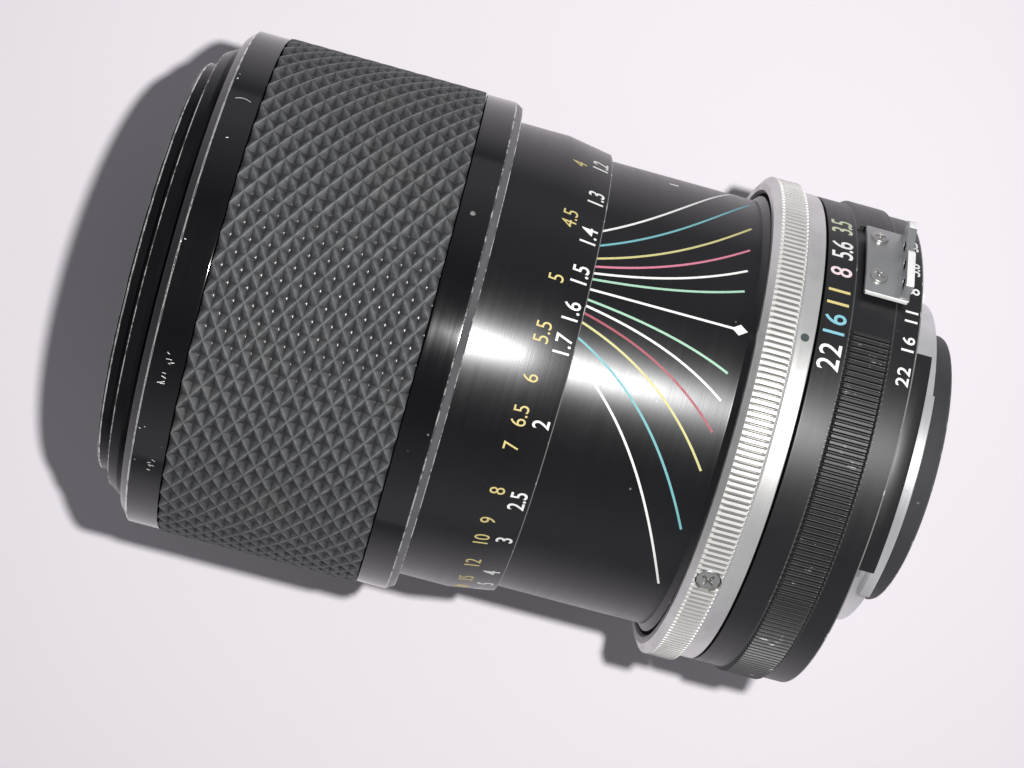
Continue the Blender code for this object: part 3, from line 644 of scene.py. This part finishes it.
# ----- collar and rubber
def focus_collar():
    """The collar: chamfered ends, and the groove that the rubber lies in."""
    radius, front, rear = COLLAR.radius, COLLAR.front, COLLAR.rear
    groove, groove_front, groove_rear = radius - 1.0, GRIP.front + 0.15, GRIP.rear - 0.15
    rear_bore, front_bore, bore_step = 31.05, 30.5, 76.7
    outline = [
        (radius - 1.1, front), (radius, front - 1.0), (radius, groove_front), (groove, groove_front),
        (groove, groove_rear), (radius, groove_rear), (radius, rear + 1.0), (radius - 0.6, rear),
        (rear_bore, rear), (rear_bore, bore_step), (front_bore, bore_step), (front_bore, front),
    ]
    mesh = ring("focus_collar_body", rounded(outline, 0.10, worn={1: 4.0, 6: 0.7, 7: 1.0}), 320)
    hole = drum(0.42, -1.0, 4.0, 24)
    holes = [(hole, outward(31.5, *spot)) for spot in screw_places("collar_set_screw", 3)]
    mesh = combined(mesh, holes)
    # The rear chamfer's faces get the grey of the painted reflection.
    coat(mesh, "collar", "chamfer_painted_reflection")
    for face in mesh.polygons:
        slanted = 0.2 < face.normal.z / -hypot(face.normal.x, face.normal.y, 1e-9) < 3.0
        face.material_index = int(slanted and (rear + 0.1) * MM < face.center.z < (rear + 0.9) * MM)
    show("focus_collar_body", mesh, "collar", "focus", ["focus_collar"])


SCRATCHES = (  # angle in degrees, distance, how many, and how long
    (-22.0, 88.6, 8, 0.9), (-46.5, 88.0, 6, 0.8), (-35.0, 90.0, 2, 0.3), (4.5, 90.1, 2, 0.5),
    (49.5, 90.1, 3, 0.2), (30.0, 89.0, 1, 0.3),
)


def collar_chips():
    """Scratches where the black finish of the front band has gone."""
    radius = COLLAR.radius
    marks = Marks(lambda along: radius - 0.012)
    chance = random.Random(11)
    for place, middle, count, longest in SCRATCHES:
        for _ in range(count):
            angle = radians(place + chance.gauss(0.0, 1.4))
            along = middle + chance.gauss(0.0, 0.35) * longest / 0.6
            length = chance.uniform(0.3, 1.0) * longest
            slope = chance.gauss(0.2, 0.5)
            path = []
            for share in (-0.5, 0.0, 0.5):
                aside = length * share * slope + chance.uniform(-0.06, 0.06)
                path.append((angle + aside / radius, along + length * share))
            marks.strip(path, chance.uniform(0.06, 0.11))
    shares = [step / 8 - 0.5 for step in range(9)]
    marks.strip([(radians(41.4) - 1.2 * t * t / radius, 88.6 + 1.9 * t) for t in shares], 0.06)
    marks.done("collar_chips", "bare_metal_and_highlight", "focus", "black_anodised")


GRIP_CELLS_ALONG = 11
GRIP_CELLS_ROUND = 57
GRIP_DEPTH = 0.60
HALF_CELL = (0.0, 0.05, 0.13, 0.21, 0.29, 0.37, 0.45)  # where the mesh is cut across half a cell


def cell_lines(cells, last=False):
    """Mesh lines over some cells, closer together at pits and ridge crossings."""
    lines = [half / 2 + share for half in range(2 * cells) for share in HALF_CELL]
    return np.array(lines + [cells] if last else lines)


def rubber_grip():
    """The sleeve: crossing ridges with a pit between them, its walls bulging a little.

    a and b count cells along and round the sleeve. Pits lie at whole numbers of both and
    halfway between them, and slope grows from 0 at a pit to 1 on the ridges.
    """
    bore, hollow, bulge = 32.45, 0.46, 1.3
    a, b = np.meshgrid(cell_lines(GRIP_CELLS_ALONG, last=True), cell_lines(GRIP_CELLS_ROUND), indexing="ij")
    rows, columns = a.shape
    to_pit = [(np.abs(a - shift - np.round(a - shift)), np.abs(b - shift - np.round(b - shift)))
              for shift in (0.0, 0.5)]
    nearer = to_pit[0][0] + to_pit[0][1] <= to_pit[1][0] + to_pit[1][1]
    da, db = (np.where(nearer, one, other) for one, other in zip(*to_pit))
    slope = 2 * (da + db)
    rise = slope + bulge * np.sqrt(da * db) * (1 - slope)
    height = np.where(rise < hollow, rise ** 2 / (2 * hollow), rise - hollow / 2) / (1 - hollow / 2)
    height = np.minimum(height, 1.0)
    # Painted shade: low values in the pits and along their creases give the rubber its near-black colour there.
    star = np.clip(0.10 + 7.0 * da * db + 0.9 * np.clip(slope - 0.35, 0, 1), 0.0, 1.0)
    # Painted highlight: the diagonal family of ridges that faces the light gets a larger value than the other.
    lit_diagonal = np.abs((a - b) % 1.0 - 0.5) < 0.01
    ridge = np.where(slope > 0.99, np.where(lit_diagonal, 0.8, 0.25), 0.0)
    radius = GRIP.radius - GRIP_DEPTH * (1 - height)
    along = GRIP.front + (GRIP.rear - GRIP.front) * a / GRIP_CELLS_ALONG
    angle = np.broadcast_to(b[0] * tau / GRIP_CELLS_ROUND, (rows + 2, columns))

    def padded(grid, first, last):
        """The grid between two more rows, which lie in the bore."""
        pad = np.ones((1, columns))
        return np.vstack([first * pad, grid, last * pad])

    corners = grid_corners(rows + 2, columns)
    row, column = np.indices(corners.shape[:2])
    steps = len(HALF_CELL)
    slanted = (((row - 1) // steps + column // steps) % 2 == 1)[..., None]
    first = np.where(slanted, corners[..., [0, 1, 2]], corners[..., [0, 1, 3]])
    second = np.where(slanted, corners[..., [0, 2, 3]], corners[..., [1, 2, 3]])
    faces = np.concatenate([first.reshape(-1, 3), second.reshape(-1, 3)])
    mesh = grid_mesh(
        "rubber_sleeve", padded(radius, bore, bore), padded(along, GRIP.front, GRIP.rear), angle, faces, 40.0,
        height=padded(height, 0.5, 0.5), star=padded(star, 0.7, 0.7), ridge=padded(ridge, 0.0, 0.0))
    show("rubber_sleeve", mesh, "rubber", "focus", ["rubber_grip"])


# ----- distance scale and barrel
SCALE_TAPER = 5.85  # length of the scale ring's tapered end
SCALE_REAR_RADIUS = SCALE.radius - 0.95
BARREL_RADIUS = 28.95


def scale_surface(along):
    share = min(max((along - SCALE.rear) / SCALE_TAPER, 0.0), 1.0)
    return SCALE_REAR_RADIUS + (SCALE.radius - SCALE_REAR_RADIUS) * share


def distance_ring():
    """The tapered ring with its distances in metres and feet."""
    bore = 29.35
    outline = [
        (SCALE.radius, SCALE.front), (SCALE.radius, SCALE.rear + SCALE_TAPER),
        (SCALE_REAR_RADIUS, SCALE.rear), (bore, SCALE.rear), (bore, SCALE.front),
    ]
    rows = rounded(outline, 0.07, worn={2: 2.5})
    turned("distance_ring_body", rows, "scale", "focus", "black_anodised", "distance_scale_ring")


INFINITY_ANGLE = radians(-106.0)
FOOT = 0.3048


def distance_angle(metres):
    """Where a distance stands: the focusing thread moves by 1/(distance - 0.2)."""
    return INFINITY_ANGLE + radians(168.0) / (metres - 0.2)


def infinity_sign(marks, along, size):
    """A figure of eight lying along the ring."""
    path = []
    for step in range(36):
        t = tau * step / 36
        reach = size / (1 + sin(t) ** 2) * cos(t)
        path.append((INFINITY_ANGLE + reach / scale_surface(along), along + reach * sin(t)))
    marks.strip(path, 0.3, closed=True)


def distance_numbers():
    for name, colour, labels, unit, along, height, width, weight, sign in (
        ("metres", "white", "1.2 1.3 1.4 1.5 1.6 1.7 2 2.5 3 4 5 7 15", 1.0, 44.3, 2.1, 0.80, 0.008, 1.6),
        ("feet", "yellow", "4 4.5 5 5.5 6 6.5 7 8 9 10 12 15 20 30", FOOT, 47.05, 1.9, 0.85, -0.002, 1.5),
    ):
        marks = Marks(scale_surface)
        for label in labels.split():
            marks.digits(label, distance_angle(float(label) * unit), along, height, width, weight)
        infinity_sign(marks, along, sign)
        marks.done(f"distance_{name}", colour, "focus", "black_anodised")


def barrel():
    """The fixed barrel, flared where it meets the silver ring."""
    front, rear, bore, flare = BARREL.front, BARREL.rear, 28.3, 29.8
    outline = [
        (BARREL_RADIUS, front), (BARREL_RADIUS, 22.7), (flare, 22.0), (flare, 20.9), (BARREL_RADIUS, 20.9),
        (BARREL_RADIUS, rear), (bore, rear), (bore, front),
    ]
    rows = rounded(outline, 0.10, worn={2: 1.0})
    turned("scale_barrel_body", rows, "barrel", "root", "black_anodised", "scale_barrel")


INDEX_ANGLE = radians(21.5)
LINE_WIDTH = 0.29
CURVES_FRONT = SCALE.rear + 0.8
CURVES_REAR = 24.2
# The lower f/8 line uses a darker copy of the red, as painted shade.
STOPS = (  # each stop's f-number, its upper line's colour and its lower one's
    (3.5, "green", "green"), (5.6, "white", "white"), (8, "red", "red_in_painted_shade"), (11, "lemon", "lemon"),
    (16, "cyan", "cyan"), (22, "white", "white"),
)
STOP_SPREAD = radians(0.775)  # of a line from the index, for each unit of the f-number
ZOOM_LENGTH = 18.7  # travel between the short and the long focal length
GROWTH = {1: 4.0, -1: 4.22}  # of the depth of field over that travel, on either side


def depth_curve(stop, side):
    """The line that a stop's depth of field follows as the lens is zoomed."""
    path = []
    for along in np.linspace(CURVES_FRONT, CURVES_REAR, 41).tolist():
        spread = STOP_SPREAD * stop * GROWTH[side] ** ((SCALE.rear - along) / ZOOM_LENGTH)
        path.append((INDEX_ANGLE + side * spread, along))
    return path


def depth_of_field_lines():
    by_colour = defaultdict(lambda: Marks(lambda along: BARREL_RADIUS))
    for stop, *colours in STOPS:
        for side, colour in zip((1, -1), colours):
            by_colour[colour].strip(depth_curve(stop, side), LINE_WIDTH)
    white = by_colour["white"]
    white.strip([(INDEX_ANGLE, CURVES_FRONT), (INDEX_ANGLE, 24.6)], LINE_WIDTH)
    half = 0.72 / BARREL_RADIUS
    white.patch([
        (INDEX_ANGLE, 24.9), (INDEX_ANGLE + half, 23.9), (INDEX_ANGLE, 22.9), (INDEX_ANGLE - half, 23.9),
    ])
    tick = radians(70.0)
    white.strip([(tick, 34.9), (tick, 33.7)], 0.3)
    for colour, marks in by_colour.items():
        marks.done(f"depth_lines_{colour}", colour, "root", "black_anodised")


# ----- silver ring
RIBS = 260
RIB_COLUMNS = RIBS * 12


def ribbed(depth, front, rear, groove, fade, without=()):
    """A shape for ring(): grooves along the axis, as wide as a share of the pitch.

    They fade out at front and rear. Without lists the spans of angles that have a plain
    radius instead: (start, end, radius).
    """
    def shape(radius, along, angle):
        phase = angle / tau * RIBS
        off = np.abs(phase - np.round(phase))
        profile = np.clip((groove - off) / (0.5 * groove), 0.0, 1.0)
        reach = np.clip(np.minimum(front - along, along - rear) / fade, 0.0, 1.0)
        sunk = radius - depth * profile * np.sqrt(reach)
        for start, end, plain in without:
            gone = (angle - start) % tau < end - start
            sunk = np.where(gone, np.minimum(radius, plain), sunk)
        return np.where((along < front) & (along > rear), sunk, radius)

    return shape


def silver_ring():
    """The milled and the smooth part of the silver ring, with painted shade in the milled grooves."""
    knurl, plain = SILVER.radius, SILVER.radius - 0.9
    front, rear = 21.35, 17.9
    ends = [(knurl, front - share * (front - rear)) for share in (0.05, 0.12, 0.25, 0.75, 0.88, 0.95)]
    outline = [(30.6, 22.1), (31.5, 22.1), (knurl, front)] + ends + [
        (knurl, rear), (plain, 17.5), (plain, 15.3), (29.3, 15.3), (29.3, 20.6), (30.25, 20.6), (30.25, 21.8),
    ]
    shape = ribbed(0.45, front, rear - 0.05, 0.25, 0.5)
    mesh = ring("silver_ring_body", rounded(outline, 0.14), RIB_COLUMNS, shape, crease=50)
    hole = drum(1.65, 0.0, 3.0)
    holes = [(hole, outward(31.3, *spot)) for spot in screw_places("grip_screw", 3)]
    mesh = combined(mesh, holes)
    coat(mesh, "satin", "milled", "milled_groove_painted_shade")
    # Faces deep in the milled grooves get the darker painted shade; the rib tops get the milled colour.
    for face in mesh.polygons:
        if rear * MM < face.center.z < front * MM:
            face.material_index = 2 if face.center.xy.length < (knurl - 0.12) * MM else 1
    show("silver_ring_body", mesh, "satin", "root", ["index_grip_ring"])
    dot = Marks(lambda along: plain)
    size, angle, along = 0.53, INDEX_ANGLE + radians(0.1), 16.5
    dot.patch([
        (angle + size * cos(turn) / plain, along + size * sin(turn))
        for turn in (tau * step / 24 for step in range(24))
    ])
    dot.done("index_dot", "dot", "root", "satin_aluminium")


# ----- screws
MOUNT_SCREW_CIRCLE = 25.6


def cross_head(name, radius, height):
    """A screw head whose face is at Z = 0, with a cross recess."""
    rows = [(0.0, 0.0, 0.0), (radius * 0.6, -0.02, 0.0)]
    rows += [(radius * (0.86 + 0.14 * sin(t)), -0.05 - radius * 0.14 * (1 - cos(t)), 1.0)
             for t in (pi / 2 * step / 4 for step in range(5))]
    rows += [(radius, -height, 0.0), (0.0, -height, 0.0)]
    head = ring(name, rows, 48, disc=True)
    slot = bar((radius * 1.25, radius * 0.27, height))
    tools = [(slot, Matrix.Rotation(radians(turn), 4, "Z")) for turn in (20, 110)]
    tools.append((drum(radius * 0.2, -height * 0.7, height, 16), None))
    return combined(head, tools)


def screws():
    groups = (
        ("grip_screw", 3, 1.5, 0.9, "root", outward, 32.45),
        ("mount_screw", 5, 1.9, 0.8, "root", rearward, MOUNT_SCREW_CIRCLE),
        ("prong_screw", 2, 1.1, 0.5, "aperture", outward, 33.6),
    )
    for name, count, radius, height, body, place, circle in groups:
        mesh = cross_head(name, radius, height)
        for number, (angle, along) in enumerate(screw_places(name, count), 1):
            along = SEAT + 0.1 if place is rearward else along
            where = place(circle, angle, along) @ Matrix.Rotation(radians(37 * number), 4, "Z")
            show(f"{name}_head_{number}", mesh, "steel", body, [f"{name}_{number}"], where)
    slotted = combined(drum(0.33, -1.2, 0.0, 24), [(bar((1.0, 0.09, 0.3)), None)])
    for number, spot in enumerate(screw_places("collar_set_screw", 3), 1):
        nodes = [f"collar_set_screw_{number}"]
        show(f"set_screw_{number}", slotted, "steel", "focus", nodes, outward(32.95, *spot))


# ----- aperture ring and prong
APERTURE_PLAIN = 31.7
APERTURE_REAR = SEAT + 0.4
PRONG_GAP = (radians(26.3), radians(60.0))
BOSS = (PRONG_GAP[1], radians(110.0))  # a smooth part of the grip beside the prong
F22_ANGLE = 18.8  # degrees
STOP_TURN = 7.5  # degrees of the ring for one stop
STOP_MARKS = (  # each number, its stops from f/22 and its colour
    ("22", 0, "white"), ("16", 1, "blue"), ("11", 2, "yellow"), ("8", 3, "pink"), ("5.6", 4, "white"),
    ("3.5", 5.3, "pale_green"),
)


def aperture_ring():
    """The ring, whose ribs leave a gap at the prong, and the ridge behind it."""
    plain, knurl, bore = APERTURE_PLAIN, APERTURE.radius + 0.1, 28.75
    front, rear, knurl_front, knurl_rear = APERTURE.front, APERTURE_REAR, 10.9, 6.3
    ends = [(knurl, knurl_front + share * (knurl_rear - knurl_front))
            for share in (0.04, 0.10, 0.20, 0.80, 0.90, 0.96)]
    outline = [(plain, front), (plain, 11.25), (knurl, knurl_front)] + ends + [
        (knurl, knurl_rear), (plain, 5.95), (plain, rear), (bore, rear), (bore, front),
    ]
    shape = ribbed(0.40, 11.3, 5.9, 0.30, 0.5, ((*PRONG_GAP, plain), (*BOSS, knurl)))

    # Painted highlight: the rib tops' corners get full edge values, whose pale wear colour stands for the glints
    # on the ribs.
    def worn_and_highlit(radius, along, angle):
        phase = angle / tau * RIBS
        corner = np.abs(np.abs(phase - np.round(phase)) - 1 / 3) < 0.02
        plain_spans = (angle > PRONG_GAP[0]) & (angle < BOSS[1])
        return np.where(corner & ~plain_spans & (along < knurl_front) & (along > knurl_rear), 1.0, 0.0)

    rows = rounded(outline, worn={1: 0.8, 10: 0.5, 11: 3.0})
    turned("aperture_ring_body", rows, "aperture", "aperture", "black_anodised", "aperture_ring",
           RIB_COLUMNS, shape=shape, crease=50, wear=worn_and_highlit)
    ridge = [(30.0, rear + 0.6), (30.0, 0.3), (28.9, 0.3), (28.9, rear + 0.6)]
    body = combined(sector(ridge, radians(-27), radians(54), 40), [], "UNION", bevel=0.08)
    show("coupling_ridge", body, "aperture", "aperture")


def aperture_numbers():
    by_colour = defaultdict(lambda: Marks(lambda along: APERTURE_PLAIN))
    for small in (False, True):
        for label, stops, colour in STOP_MARKS:
            marks = by_colour["white" if small else colour]
            place = (3.95, 1.6, 1.08, 0.012) if small else (13.2, 2.75, 0.86, 0.006)
            angle = radians(F22_ANGLE + STOP_TURN * stops)
            marks.digits(label, angle, *place, 0.90 if "." in label else 1.12)
    for colour, marks in by_colour.items():
        marks.done(f"aperture_numbers_{colour}", colour, "aperture", "black_anodised")


def bent(mesh, radius, angle, along):
    """A flat mesh, drawn as (round, along, out) about its centre, bent round the axis."""
    bm = bmesh.new()
    bm.from_mesh(mesh)
    low = min(v.co.x for v in bm.verts)
    high = max(v.co.x for v in bm.verts)
    for x in np.linspace(low, high, 25)[1:-1]:
        geometry = [*bm.verts, *bm.edges, *bm.faces]
        bmesh.ops.bisect_plane(bm, geom=geometry, dist=1e-8, plane_co=(x, 0, 0), plane_no=(1, 0, 0))
    for v in bm.verts:
        turn = angle + v.co.x / (radius * MM)
        v.co = polar(radius + v.co.z / MM, turn, along + v.co.y / MM)
    bmesh.ops.recalc_face_normals(bm, faces=bm.faces)
    return written(bm)


PRONG_START, PRONG_SPAN = radians(35.4), radians(22.0)


def coupling_prong():
    """The prong: a curved foot, and an upright wall with a notch and light holes."""
    foot_front, foot_rear, foot_middle, foot_thickness = 10.5, 4.85, 32.85, 0.7
    middle = PRONG_START + PRONG_SPAN / 2
    half, half_along = PRONG_SPAN / 2 * foot_middle, (foot_front - foot_rear) / 2
    corners = [(-half, half_along), (half, half_along), (half, -half_along), (-half, -half_along)]
    foot = plate([soft_outline(corners, 0.3)], foot_thickness, 0.1)
    mesh = bent(foot, foot_middle, middle, (foot_front + foot_rear) / 2)
    wall_base, wall_top, ear_top, notch = 32.6, 35.4, 36.1, 34.9
    wall_thickness, wall_at = 1.0, 5.55
    start, end = degrees(PRONG_START), degrees(PRONG_START + PRONG_SPAN)

    def flat(spots):
        """The corners at these radii and angles in degrees."""
        return [(r * cos(radians(a)), r * sin(radians(a))) for r, a in spots]

    outline = flat([
        (wall_base, start + 0.4), (wall_top, start + 1.2), (wall_top, 46.4), (notch, 47.2), (notch, 49.4),
        (wall_top, 51.2), (ear_top, 52.8), (ear_top, 54.8), (wall_top, end - 0.4), (wall_base, end - 0.3),
    ])
    outlines = [soft_outline(outline, 0.45)]
    hole_at, half_high, half_wide = 34.0, 0.55, 0.85
    for place in (38.8, 44.2, 50.2):
        outlines.append(flat(
            (hole_at + half_high * sin(t), place + degrees(half_wide * cos(t) / hole_at))
            for t in (tau * step / 24 for step in range(24))))
    wall = plate(outlines, wall_thickness, 0.10)
    made = combined(mesh, [(wall, Matrix.Translation((0, 0, wall_at * MM)))], "UNION")
    coat(made, "plate", "bare_metal_and_highlight", "matt")
    for face in made.polygons:
        centre, radius = face.center, face.center.xy.length / MM
        angle = degrees(atan2(centre.y, centre.x))
        outwards = (face.normal.x * centre.x + face.normal.y * centre.y) / centre.xy.length
        # Painted highlight: the outward top faces of the wall and ear, and the foot's end face, get the pale
        # metal.
        top = outwards > 0.5 and radius > wall_top - 0.2 and (angle < 46.9 or 52.7 < angle < 54.9)
        # Painted shade: the walls of the light holes get matt black.
        inside = 33.3 < radius < 34.7 and abs(face.normal.z) < 0.3 and start + 1 < angle < end - 2
        if top or (angle < start + 0.3 and radius > foot_middle):
            face.material_index = 1
        elif inside:
            face.material_index = 2
    show("coupling_prong_body", made, "plate", "aperture", ["coupling_prong"])


# ----- front group
FILTER_PITCH = 0.75
FILTER_BORE = 25.95
THREAD_DEPTH = 0.42


def filter_ring():
    """The front rim, with the filter thread cut as a real helix."""
    front, rear, radius = RIM.front, RIM.rear, RIM.radius
    seat, cell_bore = 88.5, 23.75
    outline = [
        (radius - 0.3, front), (radius, front - 0.3), (radius, rear), (cell_bore, rear), (cell_bore, seat),
        (FILTER_BORE, seat), (FILTER_BORE, front),
    ]
    rows = rounded(outline, 0.10, worn={0: 0.6, 1: 2.2})
    thread_rear, thread_front = seat + 0.8, front - 0.5
    steps = round((thread_front - thread_rear) / (FILTER_PITCH / 8)) + 1
    last = max(i for i, row in enumerate(rows) if abs(row[0] - FILTER_BORE) < 0.02 and row[1] < seat + 1)
    rows[last + 1:last + 1] = [(FILTER_BORE, at, 0.0) for at in np.linspace(thread_rear, thread_front, steps)]

    def thread(r, along, angle):
        turn = along / FILTER_PITCH + angle / tau
        wave = 1 - np.abs(2 * (turn - np.floor(turn)) - 1)
        inside = (along > thread_rear) & (along < thread_front) & (r < FILTER_BORE + 0.05)
        return np.where(inside, FILTER_BORE + THREAD_DEPTH * wave, r)

    turned("filter_ring_body", rows, "front", "front_group", "black_anodised", "filter_ring",
           256, shape=thread, crease=50)


def front_bezel():
    """The shoulder ring behind the rim."""
    front, rear, radius = BEZEL.front, BEZEL.rear, BEZEL.radius
    outline = [
        (27.9, front), (29.3, front - 0.5), (radius, front - 1.9), (radius, rear),
        (28.95, rear), (28.95, 92.2), (27.8, 92.2), (27.8, front - 0.1),
    ]
    rows = rounded(outline, 0.10, worn={1: 1.2})
    turned("front_bezel_body", rows, "front", "front_group", "black_anodised", "front_bezel")


def stepped(start, end, steps, depth):
    """Rows of fine steps from one (radius, distance) to another, against glare."""
    rows = []
    for step in range(steps):
        for share, sink in ((step, 0.0), (step + 0.7, 0.0), (step + 0.75, depth), (step + 0.95, depth)):
            t = share / steps
            rows.append((start[0] + (end[0] - start[0]) * t, start[1] + (end[1] - start[1]) * t - sink, 0.0))
    rows.append((*end, 0.0))
    return rows


def beauty_ring():
    """The plain ring round the front glass: a smooth cone with a few fine grooves."""
    rows = stepped((21.1, 90.45), (22.6, 90.72), 4, 0.12)
    rows += [(25.2, 91.2, 0.0), (25.6, 91.2, 1.0), (25.6, 90.1, 0.0), (21.1, 90.1, 0.0)]
    turned("beauty_ring_body", rows, "matt", "front_group", "matt_black", "beauty_ring", 192)


def threaded_wall(radius, front, rear, pitch=0.5, depth=0.12):
    """Rows of a bore cut with fine grooves, from the rear forwards."""
    count = round((front - rear) / pitch)
    rows = []
    for step in range(count):
        along = front + (rear - front) * step / count
        rows += [(radius, along, 0.0), (radius + depth, along - pitch / 2, 0.0)]
    rows.append((radius, rear, 0.0))
    return rows[::-1]


def front_cell():
    """The tube that holds the front glasses, grooved inside against glare."""
    front, step, neck_rear, neck_front = 89.8, 75.0, 56.5, 57.8
    rows = [
        (23.3, front, 1.0), (23.3, step, 0.0), (19.5, step, 0.0), (19.5, neck_rear, 0.0),
        (15.5, neck_rear, 0.0), (15.5, neck_front, 0.0),
    ]
    rows += threaded_wall(17.6, step + 0.9, neck_front) + threaded_wall(21.9, front, step + 0.9)
    turned("front_cell_body", rows, "matt", "front_group", "matt_black", "front_cell", 160, crease=50)


def glass_face(rim, curvature, vertex, towards):
    """Rows of a spherical face from the axis to the rim."""
    radii = [rim * sin(pi / 2 * step / 16) for step in range(17)]
    return [(r, vertex + towards * (curvature - sqrt(curvature ** 2 - r ** 2)), 0.0) for r in radii]


GLASSES = (  # group, number, rim, the front and rear faces' curvature, vertex and side, and coating
    ("front", 1, 21.45, (52.0, 89.6, -1), (34.0, 87.0, -1), "amber"),
    ("front", 2, 21.4, (120.0, 80.6, -1), (90.0, 74.4, 1), "purple"),
    ("front", 3, 17.2, (40.0, 68.0, -1), (60.0, 60.5, 1), "amber"),
    ("rear", 1, 12.5, (30.0, 45.6, -1), (60.0, 40.6, 1), "purple"),
    ("rear", 2, 12.5, (50.0, 38.6, 1), (40.0, 36.8, -1), "amber"),
    ("rear", 3, 12.5, (60.0, 33.6, -1), (28.0, 28.4, 1), "purple"),
)


def glasses():
    for group, number, rim, front, rear, coating in GLASSES:
        rows = glass_face(rim, *front) + glass_face(rim, *rear)[::-1]
        name = f"{group}_element_{number}"
        turned(f"{name}_glass", rows, f"glass_{coating}", f"{group}_group", "glass", name,
               128, disc=True, crease=30)


# ----- mount and rear
def bayonet():
    """The bright mount: flange with sunk screw holes, tube and three lugs."""
    flange, tube, throat, tube_end, lug_radius = 28.2, 21.8, 20.7, -2.8, 23.0
    front = SEAT + 2.3
    outline = [
        (flange, front), (flange, SEAT), (tube, SEAT), (tube, tube_end), (throat, tube_end), (throat, front),
    ]
    mesh = ring("bayonet_body", rounded(outline), 256)
    hole = drum(2.15, -1.1, 1.0, 40)
    holes = [(hole, rearward(MOUNT_SCREW_CIRCLE, angle, SEAT)) for angle, _ in screw_places("mount_screw", 5)]
    mesh = combined(mesh, holes)
    lug_front, lug_rear, bevel = -1.1, tube_end + 0.1, 0.3
    lug = [
        (lug_radius - bevel, lug_front), (lug_radius, lug_front - bevel), (lug_radius, lug_rear + 0.1),
        (lug_radius - 0.1, lug_rear), (tube - 0.5, lug_rear), (tube - 0.5, lug_front),
    ]
    lugs = [(sector(lug, radians(start), radians(span), 48), None)
            for start, span in ((-48, 72), (85, 54), (203, 50))]
    mesh = combined(mesh, lugs, "UNION")
    show("bayonet_body", mesh, "chrome", "root", ["bayonet_mount"])


def rear_baffle():
    """The tube behind the mount, with a rounded rim carrying a painted highlight, and a grooved bore."""
    rear, radius, bore = BAFFLE.rear, 18.2, 16.8
    flange_radius, flange_front, flange_rear = 22.4, 7.6, 6.6
    # The rim rows' edge values of 1.0 paint a light, chipped line round the rim: a painted highlight of bounced
    # light.
    rows = [
        (flange_radius, flange_front, 0.0), (flange_radius, flange_rear, 0.0), (radius, flange_rear, 0.0),
        (radius, rear + 0.3, 0.0), (radius - 0.1, rear + 0.08, 1.0), (radius - 0.3, rear, 1.0),
        (17.1, rear, 1.0), (bore, rear + 0.2, 0.0),
    ]
    rows += threaded_wall(bore, flange_front, rear + 0.4, 0.6, 0.2)
    turned("rear_baffle_body", rows, "baffle", "root", "matt_black", "rear_baffle", 192, crease=50)


def stop_down():
    """The ring and tab that the camera pushes."""
    outer, bore, front, rear, tab_end = 20.3, 18.75, SEAT + 3.1, SEAT + 0.3, -4.8
    outline = [(outer, front), (outer, rear), (bore, rear), (bore, front)]
    mesh = ring("stop_down_ring", rounded(outline), 160)
    top = rear + 0.6
    tab = [(outer - 0.2, top), (outer - 0.2, tab_end), (bore + 0.2, tab_end), (bore + 0.2, top)]
    mesh = combined(mesh, [(sector(tab, radians(236), radians(9), 8), None)], "UNION")
    show("stop_down_body", mesh, "steel", "stop_down", ["stop_down_lever"])


# ----- CAD pieces that stay
def finish_cad_pieces():
    """Give every CAD piece that still shows its material."""
    by_slot = {
        "matt_black": "matt_inside", "black_anodised": "matt_inside", "steel": "steel_inside",
        "brass": "brass_inside", "blade_steel": "blade",
    }
    slots = {part["node"]: part["material_slot"] for part in frame["record"]["subparts"]}
    for name, made in frame["nodes"].items():
        if not made.hide_render:
            coat(made.data, by_slot[slots[name]])


# ----- stage, light and camera
def stage():
    """The pale table, level with the lowest point of the lens."""
    table = linked("table", basic(bmesh.ops.create_grid, x_segments=4, y_segments=4, size=1.6))
    table.location.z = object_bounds()[0][2]
    coat(table.data, "pale_table")
    table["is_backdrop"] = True


def lights():
    """A small lamp beside the camera, and a pale room with a dark ceiling."""
    lamp = bpy.data.lights.new("flash", "AREA")
    lamp.shape = "DISK"
    lamp.size = 10 * MM
    lamp.energy = 0.98
    linked("flash", lamp).location = (22 * MM, 20 * MM, 318 * MM)
    world = bpy.data.worlds.new("room")
    SCENE.world = world
    nodes = Nodes(world, "Background")
    direction = nodes.add("TexCoord").outputs["Generated"]
    upwards = nodes.add("SeparateXYZ", {"Vector": direction}).outputs["Z"]
    nodes.feed(nodes.main.inputs["Strength"], nodes.remap(upwards, 0.25, 0.85, 0.52, 0.05))
    nodes.feed(nodes.main.inputs["Color"], (0.93, 0.95, 1.0, 1.0))
    SCENE.view_settings.view_transform = "Standard"


def camera():
    """The camera above the lens, a little to its front, tilted to the rear and turned."""
    ahead, aside, above = 64.21, -2.80, 284.92
    tilt, roll = radians(3.43), radians(15.1)
    eye = bpy.data.cameras.new("camera")
    eye.lens = 75.87
    eye.sensor_width = 36.0
    eye.clip_start = 0.01
    turn = Matrix.Rotation(-tilt, 4, "Y") @ Matrix.Rotation(roll, 4, "Z")
    place = Vector((DATUM_X - ahead * MM, aside * MM, AXIS_Z + above * MM))
    SCENE.camera = linked("camera", eye, Matrix.Translation(place) @ turn)


focus_collar()
collar_chips()
rubber_grip()
distance_ring()
distance_numbers()
barrel()
depth_of_field_lines()
silver_ring()
screws()
aperture_ring()
aperture_numbers()
coupling_prong()
filter_ring()
front_bezel()
beauty_ring()
front_cell()
glasses()
bayonet()
rear_baffle()
stop_down()
finish_cad_pieces()
stage()
lights()
camera()
